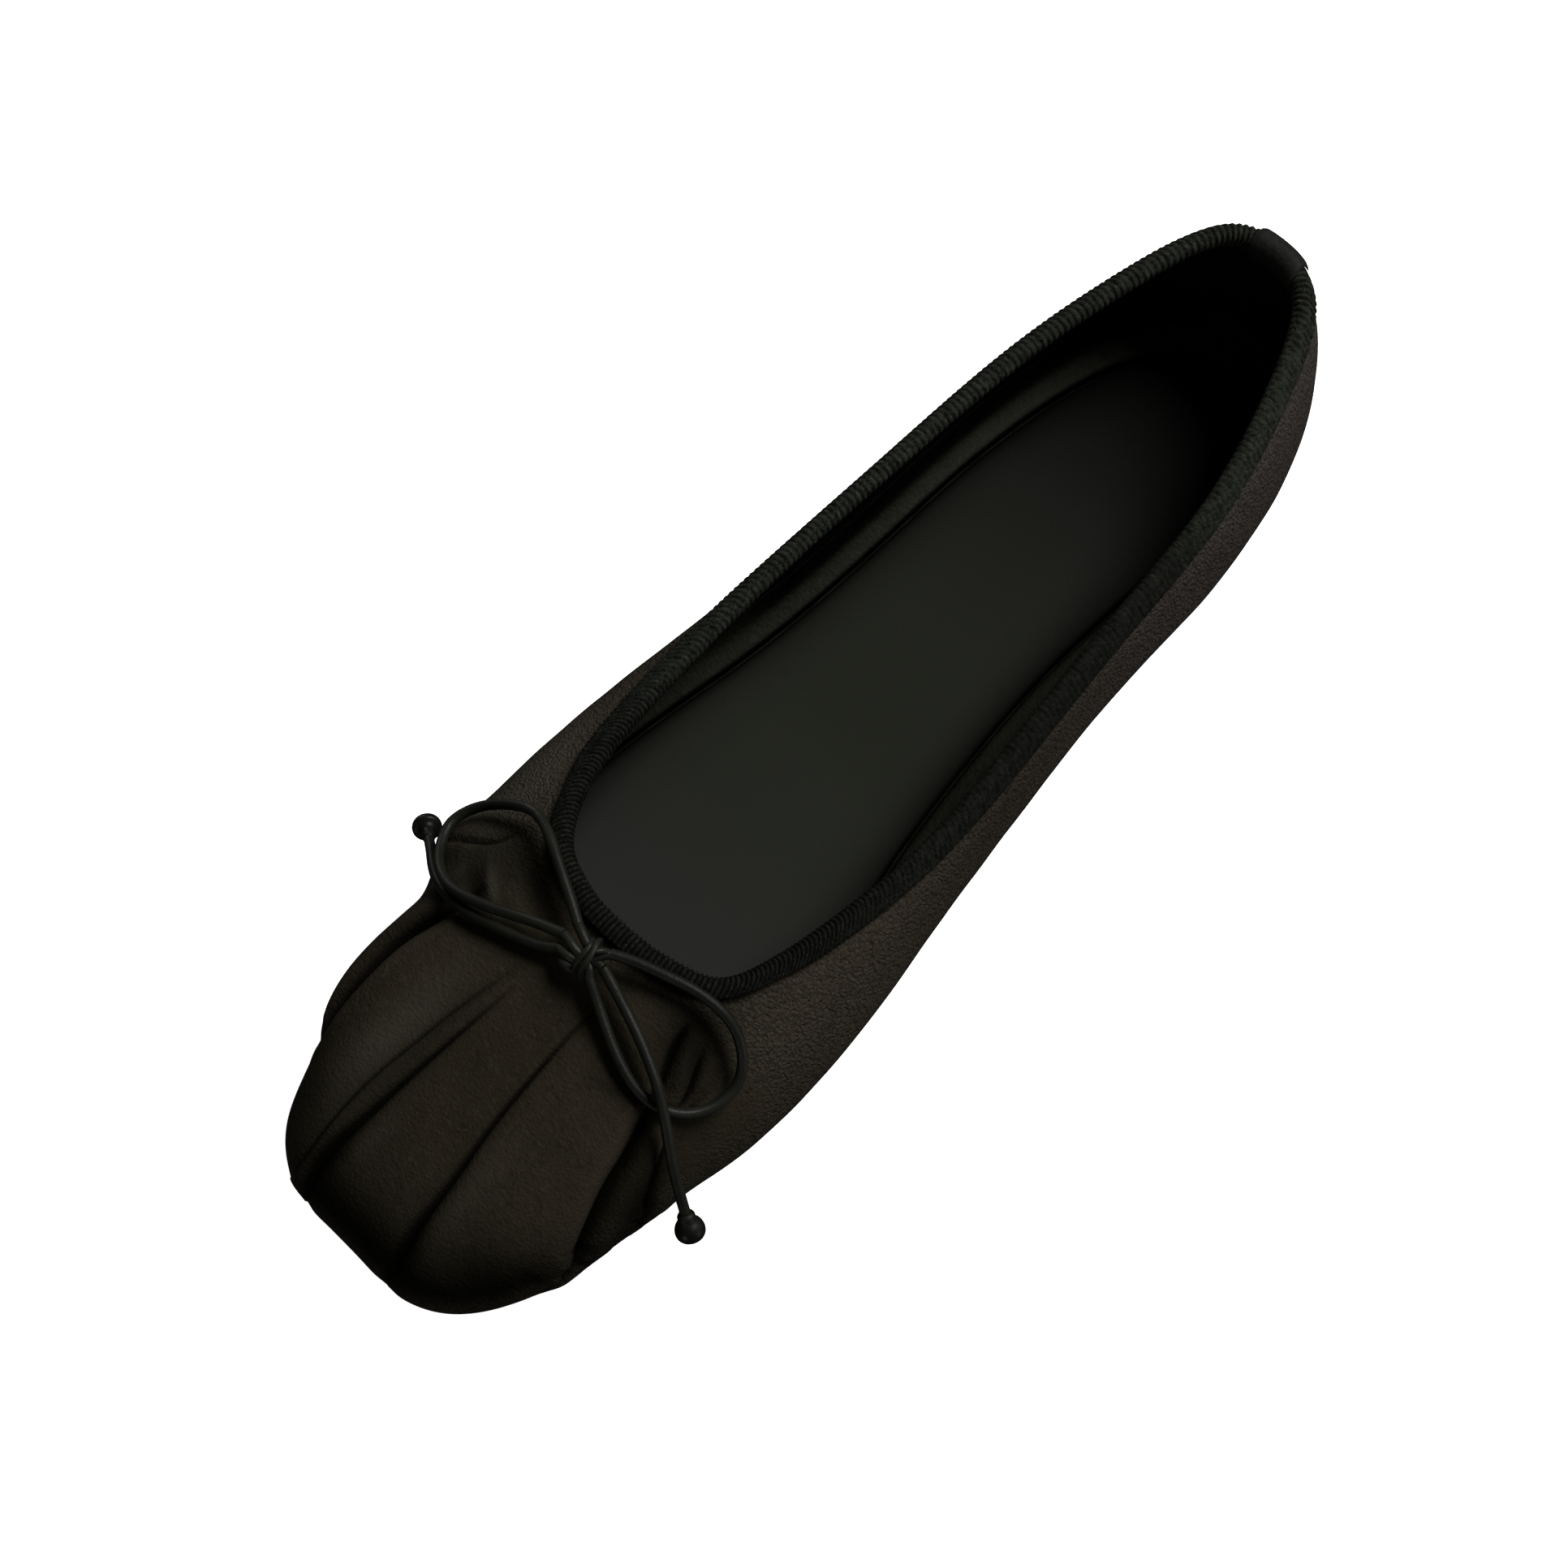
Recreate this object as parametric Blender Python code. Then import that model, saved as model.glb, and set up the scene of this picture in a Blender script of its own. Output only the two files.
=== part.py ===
"""A right-foot ballet flat: a soft leather upper with a pleated, square toe, a ribbed binding round its
collar, a drawcord bow at the throat, a thin outsole on a low heel, and an inset padded sock.

+Z is up, the toe points to -Y, and +X is the medial side. The shoe stands on z = 0 with the origin
under the middle of its own box. A station is a distance forward from the back of the heel.
"""

import math

import bmesh
import bpy
import numpy as np

MM = 0.001

# Overall sizes
LENGTH = 253.0 * MM
BALL_WIDTH = 82.0 * MM
COLLAR_WIDTH = 59.0 * MM
HEEL_HEIGHT = 53.0 * MM
SIDE_HEIGHT = 33.2 * MM
THROAT_HEIGHT = 43.5 * MM
THROAT_STATION = 184.0 * MM

# Sole and heel
OUTSOLE_THICKNESS = 2.8 * MM
OUTSOLE_REVEAL = 0.8 * MM
OUTSOLE_EDGE_ROUND = 0.8 * MM
HEEL_LIFT = 7.4 * MM
HEEL_BREAST = 58.0 * MM
HEEL_TAPER = 0.9 * MM
HEEL_BREAST_HOLLOW = 3.5 * MM
SHANK_END = 128.0 * MM
SPRING_START = 202.0 * MM
TOE_SPRING = 3.6 * MM

# Upper
WALL = 1.5 * MM
LASTING_MARGIN = 7.0 * MM
FEATHER_INSET = 4.0 * MM
BULGE_HEIGHT = 8.0 * MM
PLEAT_DEPTH = 2.0 * MM
PLEAT_WIDTH = 3.6 * MM

# Pieces that are laid on or in the upper
CLEARANCE = 0.3 * MM
BINDING_THICKNESS = 0.9 * MM
BINDING_OUTSIDE = 3.2 * MM
BINDING_INSIDE = 4.6 * MM
TAPE_LENGTH = 14.0 * MM
TAPE_THICKNESS = 0.5 * MM
TAPE_OVERLAP = 0.4 * MM
INSOLE_THICKNESS = 1.2 * MM
LEDGE_WIDTH = 3.2 * MM
LEDGE_STEP = 0.9 * MM
LEDGE_RISE = 4.5 * MM
SOCK_THICKNESS = 1.6 * MM
SOCK_GROOVE = 0.6 * MM

# Drawcord and its bow
CORD_DIAMETER = 2.0 * MM
CORD_STEP = 4.6 * MM
BOW_REACH = 45.0 * MM
KNOT_STATION = 190.3 * MM
KNOT_ACROSS = 0.9 * MM
KNOT_LENGTH = 7.6 * MM
KNOT_WIDTH = 6.0 * MM
KNOT_HEIGHT = 4.2 * MM
KNOT_LEVEL = 47.0 * MM
TIP_LENGTH = 6.0 * MM
TIP_WIDTH = 5.6 * MM

# Heights over the outsole's underside
FLOOR = OUTSOLE_THICKNESS + CLEARANCE
INSOLE_BASE = FLOOR + WALL + CLEARANCE
SOCK_BASE = INSOLE_BASE + INSOLE_THICKNESS + CLEARANCE
SOCK_TOP = SOCK_BASE + SOCK_THICKNESS

# One row for each section of the upper, from the middle of the heel to the middle of the toe.
# station: share of LENGTH. medial, lateral: widest half width, share of BALL_WIDTH / 2.
# feather_m, feather_l: how far the sole's edge lies inboard, share of FEATHER_INSET.
# bulge: height of the widest line over the sole's edge, share of BULGE_HEIGHT.
# low_in, low_up, high_in, high_up: two points of the wall between the widest line and the collar, as
# shares of the way in and of the way up. collar: share of THROAT_STATION. collar_m, collar_l: share of
# COLLAR_WIDTH / 2. heel, throat: how much of HEEL_HEIGHT and THROAT_HEIGHT stands over SIDE_HEIGHT.
# ledge_m, ledge_l: share of LEDGE_WIDTH.
SECTION_COLUMNS = (
    "station medial lateral feather_m feather_l bulge low_in low_up high_in high_up "
    "collar collar_m collar_l heel throat ledge_m ledge_l"
).split()
SECTIONS = (
    (0.000, 0.000, 0.000, 0.70, 0.70, 1.60, 0.10, 0.42, 0.42, 0.76, 0.027, 0.00, 0.00, 1.00, 0.00, 2.60, 2.60),
    (0.028, 0.405, 0.385, 0.70, 0.65, 1.55, 0.10, 0.42, 0.42, 0.76, 0.048, 0.36, 0.34, 0.96, 0.00, 2.20, 2.20),
    (0.099, 0.640, 0.605, 0.95, 0.65, 1.35, 0.10, 0.42, 0.42, 0.76, 0.142, 0.64, 0.59, 0.77, 0.00, 1.75, 1.60),
    (0.198, 0.750, 0.710, 1.45, 0.65, 1.15, 0.10, 0.42, 0.44, 0.77, 0.271, 0.83, 0.81, 0.47, 0.00, 1.65, 1.25),
    (0.316, 0.762, 0.752, 2.00, 0.70, 1.10, 0.10, 0.42, 0.44, 0.77, 0.435, 0.90, 0.93, 0.24, 0.00, 1.85, 1.00),
    (0.435, 0.812, 0.822, 2.10, 0.75, 1.05, 0.10, 0.42, 0.44, 0.77, 0.590, 0.98, 1.00, 0.08, 0.00, 2.20, 1.00),
    (0.545, 0.898, 0.930, 1.65, 0.80, 1.05, 0.10, 0.42, 0.46, 0.78, 0.716, 1.01, 1.00, 0.00, 0.02, 2.40, 1.00),
    (0.632, 0.975, 0.992, 1.25, 0.85, 1.05, 0.12, 0.43, 0.50, 0.80, 0.800, 0.98, 0.96, 0.00, 0.16, 1.95, 1.00),
    (0.715, 1.000, 0.985, 1.00, 0.90, 1.00, 0.13, 0.44, 0.52, 0.81, 0.862, 0.94, 0.90, 0.00, 0.38, 1.30, 1.00),
    (0.800, 0.935, 0.880, 0.90, 0.90, 0.90, 0.14, 0.46, 0.52, 0.80, 0.920, 0.88, 0.79, 0.00, 0.64, 1.00, 1.00),
    (0.868, 0.848, 0.868, 0.90, 0.90, 0.85, 0.14, 0.44, 0.52, 0.77, 0.955, 0.81, 0.67, 0.00, 0.80, 1.00, 1.00),
    (0.922, 0.775, 0.715, 0.90, 0.90, 0.75, 0.12, 0.40, 0.52, 0.74, 0.977, 0.70, 0.54, 0.00, 0.89, 1.00, 1.00),
    (0.974, 0.595, 0.560, 0.90, 0.90, 0.65, 0.10, 0.36, 0.50, 0.71, 0.990, 0.51, 0.37, 0.00, 0.95, 1.00, 1.00),
    (0.998, 0.360, 0.320, 0.90, 0.90, 0.65, 0.09, 0.34, 0.50, 0.70, 0.998, 0.27, 0.19, 0.00, 0.99, 1.00, 1.00),
    (1.000, 0.000, 0.000, 0.90, 0.90, 0.65, 0.09, 0.34, 0.50, 0.70, 1.000, 0.00, 0.00, 0.00, 1.00, 1.00, 1.00),
)

# The tucks of the toe. Each runs from its top through its middle to its foot; across is a share of
# BALL_WIDTH / 2, station a share of LENGTH, depth and width shares of PLEAT_DEPTH and PLEAT_WIDTH.
# A negative depth stands proud.
PLEAT_COLUMNS = "top_across top_station mid_across mid_station foot_across foot_station depth width".split()
PLEATS = (
    (-0.56, 0.780, -0.71, 0.855, -0.76, 0.935, 0.80, 0.75),
    (-0.66, 0.800, -0.80, 0.855, -0.86, 0.890, -0.60, 0.80),
    (-0.78, 0.780, -0.86, 0.805, -0.93, 0.830, 0.60, 0.90),
    (-0.12, 0.800, -0.23, 0.900, -0.26, 1.020, 0.50, 0.90),
    (0.18, 0.780, 0.20, 0.885, 0.26, 1.020, 0.60, 0.90),
    (0.62, 0.795, 0.70, 0.865, 0.73, 0.945, 1.00, 0.75),
    (0.68, 0.800, 0.78, 0.862, 0.84, 0.915, -1.10, 0.80),
    (0.78, 0.790, 0.86, 0.835, 0.92, 0.872, 0.60, 0.75),
)

# The bow's cords. across and forward are shares of BOW_REACH from the knot, height of THROAT_HEIGHT.
ROUTE_COLUMNS = "across forward height".split()
ROUTES = {
    "bow_loop_lateral": (
        (-0.087, -0.051, 1.071),
        (-0.160, -0.092, 1.068),
        (-0.310, -0.170, 1.060),
        (-0.460, -0.245, 1.032),
        (-0.555, -0.270, 0.990),
        (-0.650, -0.255, 0.918),
        (-0.740, -0.215, 0.836),
        (-0.818, -0.140, 0.770),
        (-0.842, -0.051, 0.752),
        (-0.804, 0.036, 0.772),
        (-0.731, 0.112, 0.824),
        (-0.620, 0.156, 0.886),
        (-0.509, 0.146, 0.930),
        (-0.369, 0.100, 0.964),
        (-0.244, 0.053, 1.006),
        (-0.167, 0.030, 1.036),
        (-0.102, 0.010, 1.058),
    ),
    "bow_loop_medial": (
        (0.087, -0.053, 1.075),
        (0.160, -0.090, 1.070),
        (0.270, -0.130, 1.064),
        (0.430, -0.178, 1.048),
        (0.585, -0.190, 0.992),
        (0.693, -0.144, 0.888),
        (0.747, -0.049, 0.804),
        (0.729, 0.076, 0.784),
        (0.684, 0.153, 0.797),
        (0.630, 0.200, 0.824),
        (0.530, 0.230, 0.865),
        (0.420, 0.217, 0.905),
        (0.290, 0.168, 0.945),
        (0.170, 0.108, 0.988),
        (0.082, 0.064, 1.032),
    ),
    "bow_end_lateral": (
        (-0.084, 0.060, 1.030),
        (-0.160, 0.100, 0.990),
        (-0.290, 0.140, 0.948),
        (-0.420, 0.172, 0.906),
        (-0.562, 0.187, 0.862),
        (-0.675, 0.168, 0.800),
        (-0.775, 0.122, 0.722),
        (-0.852, 0.072, 0.650),
        (-0.905, 0.040, 0.600),
    ),
    "bow_end_medial": (
        (0.102, 0.004, 1.062),
        (0.170, 0.024, 1.040),
        (0.249, 0.049, 1.014),
        (0.347, 0.082, 0.990),
        (0.449, 0.124, 0.966),
        (0.542, 0.169, 0.938),
        (0.620, 0.218, 0.896),
        (0.691, 0.269, 0.830),
        (0.776, 0.331, 0.708),
        (0.858, 0.380, 0.588),
        (0.900, 0.403, 0.530),
    ),
}
TIPS = {"cord_tip_lateral": "bow_end_lateral", "cord_tip_medial": "bow_end_medial"}

# The stopper at a cord's end, turned from its neck to its rounded head: shares of TIP_LENGTH and of
# TIP_WIDTH / 2.
TIP_PROFILE = ((0.00, 0.42), (0.10, 0.58), (0.28, 0.66), (0.46, 0.92), (0.70, 1.00), (0.90, 0.78), (1.00, 0.40))
TIP_SIDES = 12
KNOT_RINGS = 8
KNOT_SIDES = 14

COLUMNS_PER_SIDE = 50
WALL_ROWS = 9
TOE_CROWDING = 0.8


def smooth_step(t):
    """0 before t = 0, 1 after t = 1, with no corner between."""
    t = np.clip(t, 0.0, 1.0)
    return t * t * (3.0 - 2.0 * t)


def sole_underside(station):
    """Height of the outsole's underside: over the heel, down the shank, flat, then up the toe spring."""
    down = smooth_step((np.asarray(station) - HEEL_BREAST) / (SHANK_END - HEEL_BREAST))
    spring = np.clip((station - SPRING_START) / (LENGTH - SPRING_START), 0.0, None)
    return HEEL_LIFT * (1.0 - down) + TOE_SPRING * spring**2


def spline(knots, values, at, closed):
    """A cubic spline through values at knots. A closed one ends where it began, at the last knot."""
    knots, values = np.asarray(knots, float), np.asarray(values, float)
    gaps = np.diff(knots)
    count = len(gaps) if closed else len(knots)
    system, right = np.zeros((count, count)), np.zeros((count, values.shape[1]))
    slopes = np.diff(values, axis=0) / gaps[:, None]
    inner = range(count) if closed else range(1, count - 1)
    for i in inner:
        before, after = gaps[i - 1], gaps[i % len(gaps)]
        system[i, (i - 1) % count] += before
        system[i, i] += 2.0 * (before + after)
        system[i, (i + 1) % count] += after
        right[i] = 6.0 * (slopes[i % len(gaps)] - slopes[i - 1])
    if not closed:
        system[0, 0] = system[-1, -1] = 1.0
    bends = np.linalg.solve(system, right)
    if closed:
        bends = np.vstack([bends, bends[:1]])
    span = np.clip(np.searchsorted(knots, at, side="right") - 1, 0, len(gaps) - 1)
    gap = gaps[span][:, None]
    ahead = (knots[span + 1] - at)[:, None]
    behind = (at - knots[span])[:, None]
    curve = (bends[span] * ahead**3 + bends[span + 1] * behind**3) / (6.0 * gap)
    curve += (values[span] / gap - bends[span] * gap / 6.0) * ahead
    return curve + (values[span + 1] / gap - bends[span + 1] * gap / 6.0) * behind


def rails():
    """The lines that run round the upper, one point for each section: widest line, two lines of the wall
    and the collar, in half width, station and height. Before them, how far the sole's edge lies inboard
    and how wide the ledge is."""
    rows = [dict(zip(SECTION_COLUMNS, row)) for row in SECTIONS]
    around = [(row, 1.0, "medial", "feather_m", "collar_m", "ledge_m") for row in rows]
    around += [(row, -1.0, "lateral", "feather_l", "collar_l", "ledge_l") for row in rows[-2:0:-1]]
    made = []
    for row, side, wide, feather, collar, ledge in around:
        station = row["station"] * LENGTH
        widest = np.array([side * row[wide] * BALL_WIDTH / 2, station, 0.0])
        edge_height = sole_underside(station) + OUTSOLE_THICKNESS + CLEARANCE
        widest[2] = edge_height + row["bulge"] * BULGE_HEIGHT
        top = np.array([side * row[collar] * COLLAR_WIDTH / 2, row["collar"] * THROAT_STATION, SIDE_HEIGHT])
        top[2] += row["heel"] * (HEEL_HEIGHT - SIDE_HEIGHT) + row["throat"] * (THROAT_HEIGHT - SIDE_HEIGHT)
        way = top - widest
        low = widest + way * [row["low_in"], row["low_in"], row["low_up"]]
        high = widest + way * [row["high_in"], row["high_in"], row["high_up"]]
        insets = np.array([row[feather] * FEATHER_INSET, row[ledge] * LEDGE_WIDTH])
        made.append((insets, widest, low, high, top))
    return [np.array(column) for column in zip(*made)]


def inward_normals(line):
    """Unit vectors in plan that point to the inside of a closed line that runs up the medial side."""
    along = np.roll(line, -1, axis=0) - np.roll(line, 1, axis=0)
    inward = np.stack([-along[:, 1], along[:, 0], np.zeros(len(line))], axis=1)
    return inward / np.linalg.norm(inward, axis=1)[:, None]


def section_knots(widest):
    """Where each section comes along the outline, the same for both sides."""
    half = len(SECTIONS)
    mean = np.abs(widest[:half])
    mean[1:-1, 0] = (mean[1:-1, 0] + np.abs(widest[half:][::-1][:, 0])) / 2
    crowding = 1.0 + TOE_CROWDING * smooth_step((mean[1:, 1] / LENGTH - 0.72) / 0.12)
    steps = np.linalg.norm(np.diff(mean[:, :2], axis=0), axis=1) ** 0.5 * crowding
    return np.concatenate([[0.0], np.cumsum(np.concatenate([steps, steps[::-1]]))])


def column_places(knots):
    """Even places along both sides, so that every column has a partner across the shoe."""
    middle = knots[-1] / 2
    side = np.linspace(0.0, middle, COLUMNS_PER_SIDE + 1)
    return np.concatenate([side, 2 * middle - side[-2:0:-1]])


def tucked(face):
    """The face with the tucks of the toe pressed into it, along its normals."""
    normals = outward_normals(face)
    depth = np.zeros(face.shape[:2])
    across = np.array([BALL_WIDTH / 2, LENGTH])
    for row in PLEATS:
        pleat = dict(zip(PLEAT_COLUMNS, row))
        top, middle, foot = (
            across * [pleat[part + "_across"], pleat[part + "_station"]] for part in ("top", "mid", "foot")
        )
        t = np.linspace(0.0, 1.0, 25)[:, None]
        path = top * (1 - t) * (1 - 2 * t) + middle * 4 * t * (1 - t) + foot * t * (2 * t - 1)
        apart = np.linalg.norm(face[..., None, :2] - path, axis=-1)
        nearest = apart.argmin(axis=-1) / (len(path) - 1)
        away = apart.min(axis=-1) / (pleat["width"] * PLEAT_WIDTH)
        depth += pleat["depth"] * PLEAT_DEPTH * np.exp(-away**2) * smooth_step(nearest / 0.35)
    depth[0] = 0.0
    return face - normals * depth[..., None]


def wall_columns(rows=WALL_ROWS):
    """The upper's outer face as (rows, columns, 3), from the sole's edge to the collar, the line of the
    sole's edge with its inward normals, and the ledge's width at each column."""
    insets, widest, low, high, top = rails()
    knots = section_knots(widest)
    places = column_places(knots)

    def around(values):
        return spline(knots, np.vstack([values, values[:1]]), places, closed=True)

    widest_line = around(widest)
    inward = inward_normals(widest_line)
    inset, ledge = around(insets).T[..., None]
    edge = widest_line + inward * inset
    edge[:, 2] = sole_underside(edge[:, 1]) + OUTSOLE_THICKNESS + CLEARANCE
    lines = np.stack([edge, widest_line, around(low), around(high), around(top)])
    share = np.linspace(0.0, 1.0, rows)
    face = np.empty((rows, len(places), 3))
    for column in range(len(places)):
        points = lines[:, column]
        reach = np.concatenate([[0.0], np.cumsum(np.linalg.norm(np.diff(points, axis=0), axis=1) ** 0.5)])
        face[:, column] = spline(reach, points, share * reach[-1], closed=False)
    low, high = face.min(axis=(0, 1)), face.max(axis=(0, 1))
    for line in (face, edge):
        line[..., 0] = (line[..., 0] - (low[0] + high[0]) / 2) * BALL_WIDTH / (high[0] - low[0])
        line[..., 1] = (line[..., 1] - low[1]) * LENGTH / (high[1] - low[1])
    return tucked(face), edge, inward, ledge


def outward_normals(face):
    """Unit normals of the outer face, pointing away from the foot."""
    around = np.roll(face, -1, axis=1) - np.roll(face, 1, axis=1)
    up = np.gradient(face, axis=0)
    normal = np.cross(around, up)
    return normal / np.linalg.norm(normal, axis=2)[..., None]


def place(points):
    """From half width, station and height to the world."""
    points = np.asarray(points)
    return np.stack([points[..., 0], LENGTH / 2 - points[..., 1], points[..., 2]], axis=-1)


def material(name, colour, roughness):
    made = bpy.data.materials.new(name)
    made.use_nodes = True
    shader = made.node_tree.nodes["Principled BSDF"]
    shader.inputs["Base Color"].default_value = (*colour, 1.0)
    shader.inputs["Roughness"].default_value = roughness
    shader.inputs["Metallic"].default_value = 0.0
    return made


def add_solid(name, points, faces, finish):
    """A named object from points in the shoe's own measures."""
    mesh = bpy.data.meshes.new(name)
    mesh.from_pydata([tuple(p) for p in place(points)], [], faces)
    cleaned = bmesh.new()
    cleaned.from_mesh(mesh)
    bmesh.ops.recalc_face_normals(cleaned, faces=cleaned.faces)
    cleaned.to_mesh(mesh)
    cleaned.free()
    mesh.shade_smooth()
    mesh.set_sharp_from_angle(angle=math.radians(40))
    mesh.materials.append(finish)
    made = bpy.data.objects.new(name, mesh)
    bpy.context.scene.collection.objects.link(made)
    return made


def bridged(rings, closed_around=True, closed_across=True):
    """Quads between rings of equal length. closed_around joins each ring's ends, closed_across joins the
    last ring to the first."""
    count, size = len(rings), len(rings[0])
    faces = []
    for ring in range(count if closed_across else count - 1):
        following = (ring + 1) % count
        for i in range(size if closed_around else size - 1):
            j = (i + 1) % size
            faces.append((ring * size + i, ring * size + j, following * size + j, following * size + i))
    return faces


def rungs(first, size):
    """Faces that close a ring of the shoe's outline straight across, partner to partner."""
    half = size // 2
    faces = [(first, first + 1, first + size - 1), (first + half - 1, first + half, first + half + 1)]
    for i in range(1, half - 1):
        faces.append((first + i, first + i + 1, first + size - i - 1, first + size - i))
    return faces


def add_plate(name, rings, finish):
    """A solid from rings of the outline, closed across its first and last ring."""
    size = len(rings[0])
    faces = bridged(rings, closed_across=False)
    faces += rungs(0, size) + rungs((len(rings) - 1) * size, size)
    return add_solid(name, np.concatenate(rings), faces, finish)


def add_sweep(name, sections, finish):
    """A solid from closed cross-sections along an open path, with flat ends."""
    size = len(sections[0])
    faces = bridged(sections, closed_across=False)
    faces += [tuple(range(size)), tuple((len(sections) - 1) * size + i for i in range(size))]
    return add_solid(name, np.concatenate(sections), faces, finish)


def outline(edge, inward, inset, height):
    """The line of the sole's edge moved inboard, at a height over the outsole's underside."""
    ring = edge + inward * inset
    ring[:, 2] = sole_underside(ring[:, 1]) + height
    return ring


def lining_rows(face, normals, edge, inward, depth):
    """The wall's face moved in by a depth, from the top of the lasting margin to the collar."""
    rows = face - normals * depth
    rows[0] = outline(edge, inward, WALL + (depth - WALL) * 2, FLOOR + depth)
    return rows


def lining_line(rows, height):
    """The line on the rows of a lining at a height over the outsole's underside."""
    over = rows[..., 2] - sole_underside(rows[..., 1])
    line = np.empty(rows.shape[1:])
    for column in range(rows.shape[1]):
        for axis in range(3):
            line[column, axis] = np.interp(height, over[:, column], rows[:, column, axis])
    return line


def moved_in(line, inward, inset, height):
    """A line moved inboard in plan, and set at a height over the outsole's underside."""
    ring = line + inward * inset
    ring[:, 2] = sole_underside(ring[:, 1]) + height
    return ring


def collar_frame(face, normals, down):
    """Points and normals of the face at a distance down from the collar."""
    points, facing = np.empty(face.shape[1:]), np.empty(face.shape[1:])
    for column in range(face.shape[1]):
        path, around = face[::-1, column], normals[::-1, column]
        reach = np.concatenate([[0.0], np.cumsum(np.linalg.norm(np.diff(path, axis=0), axis=1))])
        for axis in range(3):
            points[column, axis] = np.interp(down, reach, path[:, axis])
            facing[column, axis] = np.interp(down, reach, around[:, axis])
    return points, facing / np.linalg.norm(facing, axis=1)[:, None]


def folded_skin(face, normals, gap, outside, inside, angles):
    """Lines of a skin folded over the collar at a gap from the wall, from the outside to the inside."""
    lines = []
    for down in outside:
        points, facing = collar_frame(face, normals, down)
        lines.append(points + facing * gap)
    top, facing = collar_frame(face, normals, 0.0)
    up = top - face[-2]
    up -= facing * (up * facing).sum(axis=1)[:, None]
    up /= np.linalg.norm(up, axis=1)[:, None]
    for angle in angles:
        turned = facing * math.cos(math.radians(angle)) + up * math.sin(math.radians(angle))
        lines.append(top - facing * WALL / 2 + turned * (gap + WALL / 2))
    for down in inside:
        points, facing = collar_frame(face, normals, down)
        lines.append(points - facing * (WALL + gap))
    return lines


def add_upper(shell, finish):
    face, normals, edge, inward = shell
    lining = lining_rows(face, normals, edge, inward, WALL)
    margin = WALL + LASTING_MARGIN
    rings = [outline(edge, inward, margin, FLOOR), *face, *lining[::-1]]
    rings.append(outline(edge, inward, margin, FLOOR + WALL))
    return add_solid("upper", np.concatenate(rings), bridged(rings), finish)


def add_outsole(shell, finish):
    edge, inward = shell[2:]
    rounding = OUTSOLE_EDGE_ROUND
    steps = (
        (rounding - OUTSOLE_REVEAL, 0.0),
        (-OUTSOLE_REVEAL, rounding),
        (-OUTSOLE_REVEAL, OUTSOLE_THICKNESS - rounding / 2),
        (rounding / 2 - OUTSOLE_REVEAL, OUTSOLE_THICKNESS),
    )
    return add_plate("outsole", [outline(edge, inward, inset, height) for inset, height in steps], finish)


def add_insole(shell, finish):
    rows = lining_rows(*shell, WALL + CLEARANCE)
    rings = [lining_line(rows, height) for height in (INSOLE_BASE, INSOLE_BASE + INSOLE_THICKNESS)]
    return add_plate("insole", rings, finish)


def add_ledge(shell, width, finish):
    """The soft band round the footbed: it climbs the lining outboard and ends in a rounded step inboard."""
    inward = shell[3]
    rows = lining_rows(*shell, WALL + CLEARANCE)
    foot = lining_line(rows, SOCK_BASE)
    rings = [lining_line(rows, height) for height in (SOCK_BASE, SOCK_TOP + LEDGE_RISE / 2, SOCK_TOP + LEDGE_RISE)]
    crown = SOCK_TOP + LEDGE_STEP
    rings.append(moved_in(rings[1], inward, width * 0.45, crown + LEDGE_STEP))
    rings += [moved_in(foot, inward, width * share, height) for share, height in
              ((0.80, crown), (1.00, SOCK_TOP), (1.00, SOCK_BASE))]
    return add_solid("sock_ledge", np.concatenate(rings), bridged(rings), finish)


def add_panel(shell, width, finish):
    inward = shell[3]
    foot = lining_line(lining_rows(*shell, WALL + CLEARANCE), SOCK_BASE)
    start = width + SOCK_GROOVE
    steps = ((start, SOCK_BASE), (start, SOCK_TOP - 0.5 * MM), (start + 0.6 * MM, SOCK_TOP))
    rings = [moved_in(foot, inward, inset, height) for inset, height in steps]
    return add_plate("sock_panel", rings, finish)


def add_binding(shell, finish):
    face, normals = shell[:2]
    outside = (BINDING_OUTSIDE, BINDING_OUTSIDE / 2, 0.0)
    outer = folded_skin(face, normals, CLEARANCE + BINDING_THICKNESS, outside, (0.0, BINDING_INSIDE), (45, 90, 135))
    inner = folded_skin(face, normals, CLEARANCE, outside, (0.0, BINDING_INSIDE), (45, 135))
    rings = outer + inner[::-1]
    return add_solid("collar_binding", np.concatenate(rings), bridged(rings), finish)


def add_tape(shell, finish):
    """The plain tape round the binding's join, a short U-section at the back of the heel."""
    face, normals = shell[:2]
    gap = 2 * CLEARANCE + BINDING_THICKNESS
    outside = (BINDING_OUTSIDE + TAPE_OVERLAP, BINDING_OUTSIDE / 2, 0.0)
    inside = (0.0, BINDING_INSIDE + TAPE_OVERLAP)
    inner = folded_skin(face, normals, gap, outside, inside, (45, 90, 135))
    outer = folded_skin(face, normals, gap + TAPE_THICKNESS, outside, inside, (45, 90, 135))
    places = np.linspace(-TAPE_LENGTH / 2, TAPE_LENGTH / 2, 7)
    lines = []
    for line in outer + inner[::-1]:
        near = line[range(-6, 7)]
        run = np.concatenate([[0.0], np.cumsum(np.linalg.norm(np.diff(near, axis=0), axis=1))])
        lines.append(np.stack([np.interp(places, run - run[6], near[:, i]) for i in range(3)], axis=1))
    return add_sweep("binding_join", list(np.array(lines).swapaxes(0, 1)), finish)


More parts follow.
